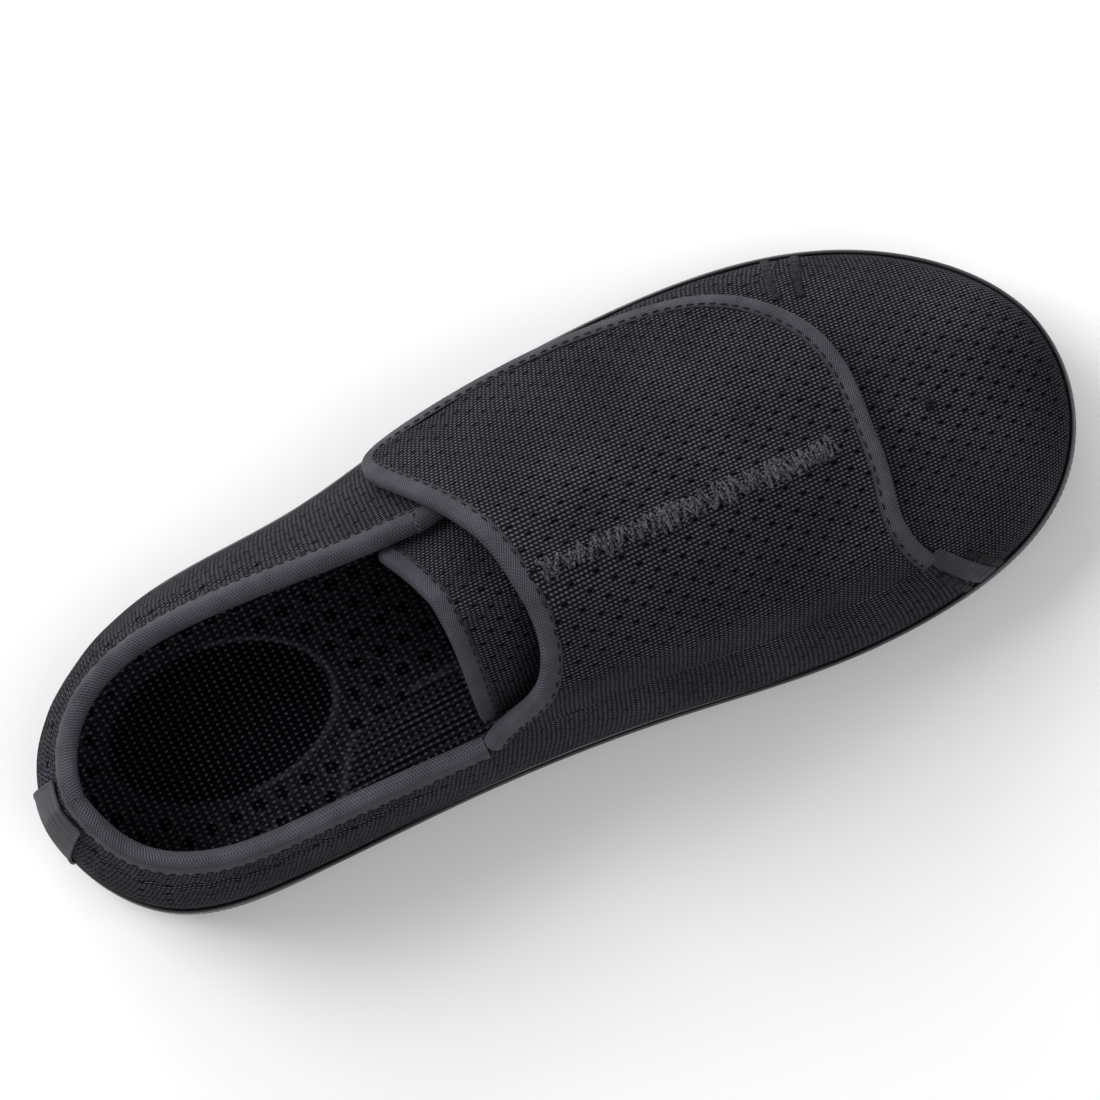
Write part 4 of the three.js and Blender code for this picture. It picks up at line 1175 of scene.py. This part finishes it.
# Woven pull tab over the heel's back seam, with raised edges.
def makePullTab():
    a, b = unitGrid(60, 120)
    t = (2 * a - 1) * tab["half"]
    s = tab["from"] + b * (tab["to"] - tab["from"])
    side = np.abs(2 * a - 1)
    top = 1.05 + 0.25 * ease(0.86, 0.95, side) + 0.12 * np.sin(b * 60) * (1 - side)
    # Across, the uv runs below zero on the tab's inner half, where the tape finish's painted border shade
    # darkens it.
    uv = np.stack([s * 0.09, t * 0.6], -1)
    return slab("heelPullTab", roundChart(t, s, top), roundChart(t, s, 0.45), uv)


# Flat strip on the upper from chart point to chart point, crowned, with small puckers.
def makeSeamStrip(name, start, end, width, top):
    a, b = unitGrid(70, 16)
    p = start[0] + a * (end[0] - start[0]) + (b - 0.5) * width / last["length"]
    q = start[1] + a * (end[1] - start[1])
    run = a * abs(end[1] - start[1]) * acrossSize[1]
    high = top + 0.3 * np.sqrt(np.clip(1 - (2 * b - 1) ** 4, 0, 1)) + 0.08 * np.sin(run / 0.6)
    # Across, the uv stays 0.6 to 0.9 mm from the border, inside the tape finish's painted border shade, so a
    # taped strip comes out darker all over.
    uv = np.stack([run * 0.001, b * 0.0003 + 0.0006], -1)
    return slab(name, acrossChart(p, q, high), acrossChart(p, q, -0.2), uv)


settle(makeSeamStrip("frontSeamTape", (0.787, 0.225), (0.7905, 0.03), 4.4, 0.35), "tape")
settle(makePullTab(), "tape", ["heel_pull_tab"])
for name, node, p, q0, q1 in (
    ("seamOuterRear", "seam_strip_outer_rear", panels["outerSeam"] - 0.009, 0.765, 0.978),
    ("seamOuterFront", "seam_strip_outer_front", panels["outerSeam"] + 0.011, 0.765, 0.978),
    ("seamInnerRear", "seam_strip_inner_rear", seam - 0.009, 0.03, 0.17),
    ("seamInnerFront", "seam_strip_inner_front", seam + 0.016, 0.03, 0.17),
):
    settle(makeSeamStrip(name, (p, q0), (p, q1), 1.8, 0.2), "thread", [node])
print("stage: pull tab and seam strips made")

# The CAD's inner pieces keep their shape and get a finish of their own.
innerParts = {
    "foam": [
        "insole_base", "quarter_outer_foam", "quarter_inner_foam", "collar_foam", "vamp_foam", "flap_foam",
        "tongue_foam",
    ],
    "board": ["lasting_board"],
    "stiffener": ["heel_counter", "toe_puff"],
    "gel": ["insole_heel_pad", "insole_arch_pad", "insole_forefoot_pad"],
    "hook": ["flap_hook_strip"],
    "loop": ["loop_patch"],
}
for finish, nodes in innerParts.items():
    for node in nodes:
        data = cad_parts[node].data
        data.materials.clear()
        data.materials.append(finishes[finish])

studio = {
    "target": (0.0024, 0.002, 0.03),
    "distance": 1.1,
    "azimuth": 27.53,
    "elevation": 84.11,
    "roll": -55.29,
    "focalLength": 136.8,
    "shift": (0.005, 0.0166),
    "floor": (0.76, 0.76, 0.76, 1),
    "sky": (1, 1, 1, 1),
    "skyStrength": 0.5,
    "lightAim": (0, 0, 0.04),
    "lights": [
        ("keyLight", (-1.1, 1.7, 1.9), 1.6, 68),
        ("fillLight", (1.0, -1.0, 2.4), 1.8, 24),
        ("backLight", (0.2, 1.8, 0.7), 1.2, 20),
    ],
}


# Camera by azimuth and elevation about the target, then rolled about its own view axis.
def makeCamera():
    az, el, roll = (math.radians(studio[k]) for k in ("azimuth", "elevation", "roll"))
    back = Vector((math.sin(az) * math.cos(el), -math.cos(az) * math.cos(el), math.sin(el)))
    right = Vector((math.cos(az), math.sin(az), 0))
    up = back.cross(right)
    turned = math.cos(roll) * right + math.sin(roll) * up, math.cos(roll) * up - math.sin(roll) * right
    camera = addObject("camera", bpy.data.cameras.new("camera"))
    camera.data.lens = studio["focalLength"]
    camera.data.shift_x, camera.data.shift_y = studio["shift"]
    place = Vector(studio["target"]) + back * studio["distance"]
    camera.matrix_world = Matrix.Translation(place) @ Matrix((*turned, back)).transposed().to_4x4()
    bpy.context.scene.camera = camera


def makeStudio():
    plane = bpy.data.meshes.new("floor")
    plane.from_pydata([(-3, -3, 0), (3, -3, 0), (3, 3, 0), (-3, 3, 0)], [], [(0, 1, 2, 3)])
    floor = addObject("floor", plane)
    plane.materials.append(makeFinish("paper", {"Base Color": studio["floor"], "Roughness": 0.9}))
    world = bpy.data.worlds.new("studio")
    bpy.context.scene.world = world
    world.use_nodes = True
    backdrop = world.node_tree.nodes["Background"]
    backdrop.inputs[0].default_value = studio["sky"]
    backdrop.inputs[1].default_value = studio["skyStrength"]
    bpy.context.scene.view_settings.view_transform = "Standard"
    for name, place, size, power in studio["lights"]:
        light = bpy.data.lights.new(name, "AREA")
        light.size, light.energy = size, power
        lamp = addObject(name, light)
        lamp.location = place
        aim = Vector(studio["lightAim"]) - Vector(place)
        lamp.rotation_euler = aim.to_track_quat("-Z", "Y").to_euler()


makeCamera()
makeStudio()
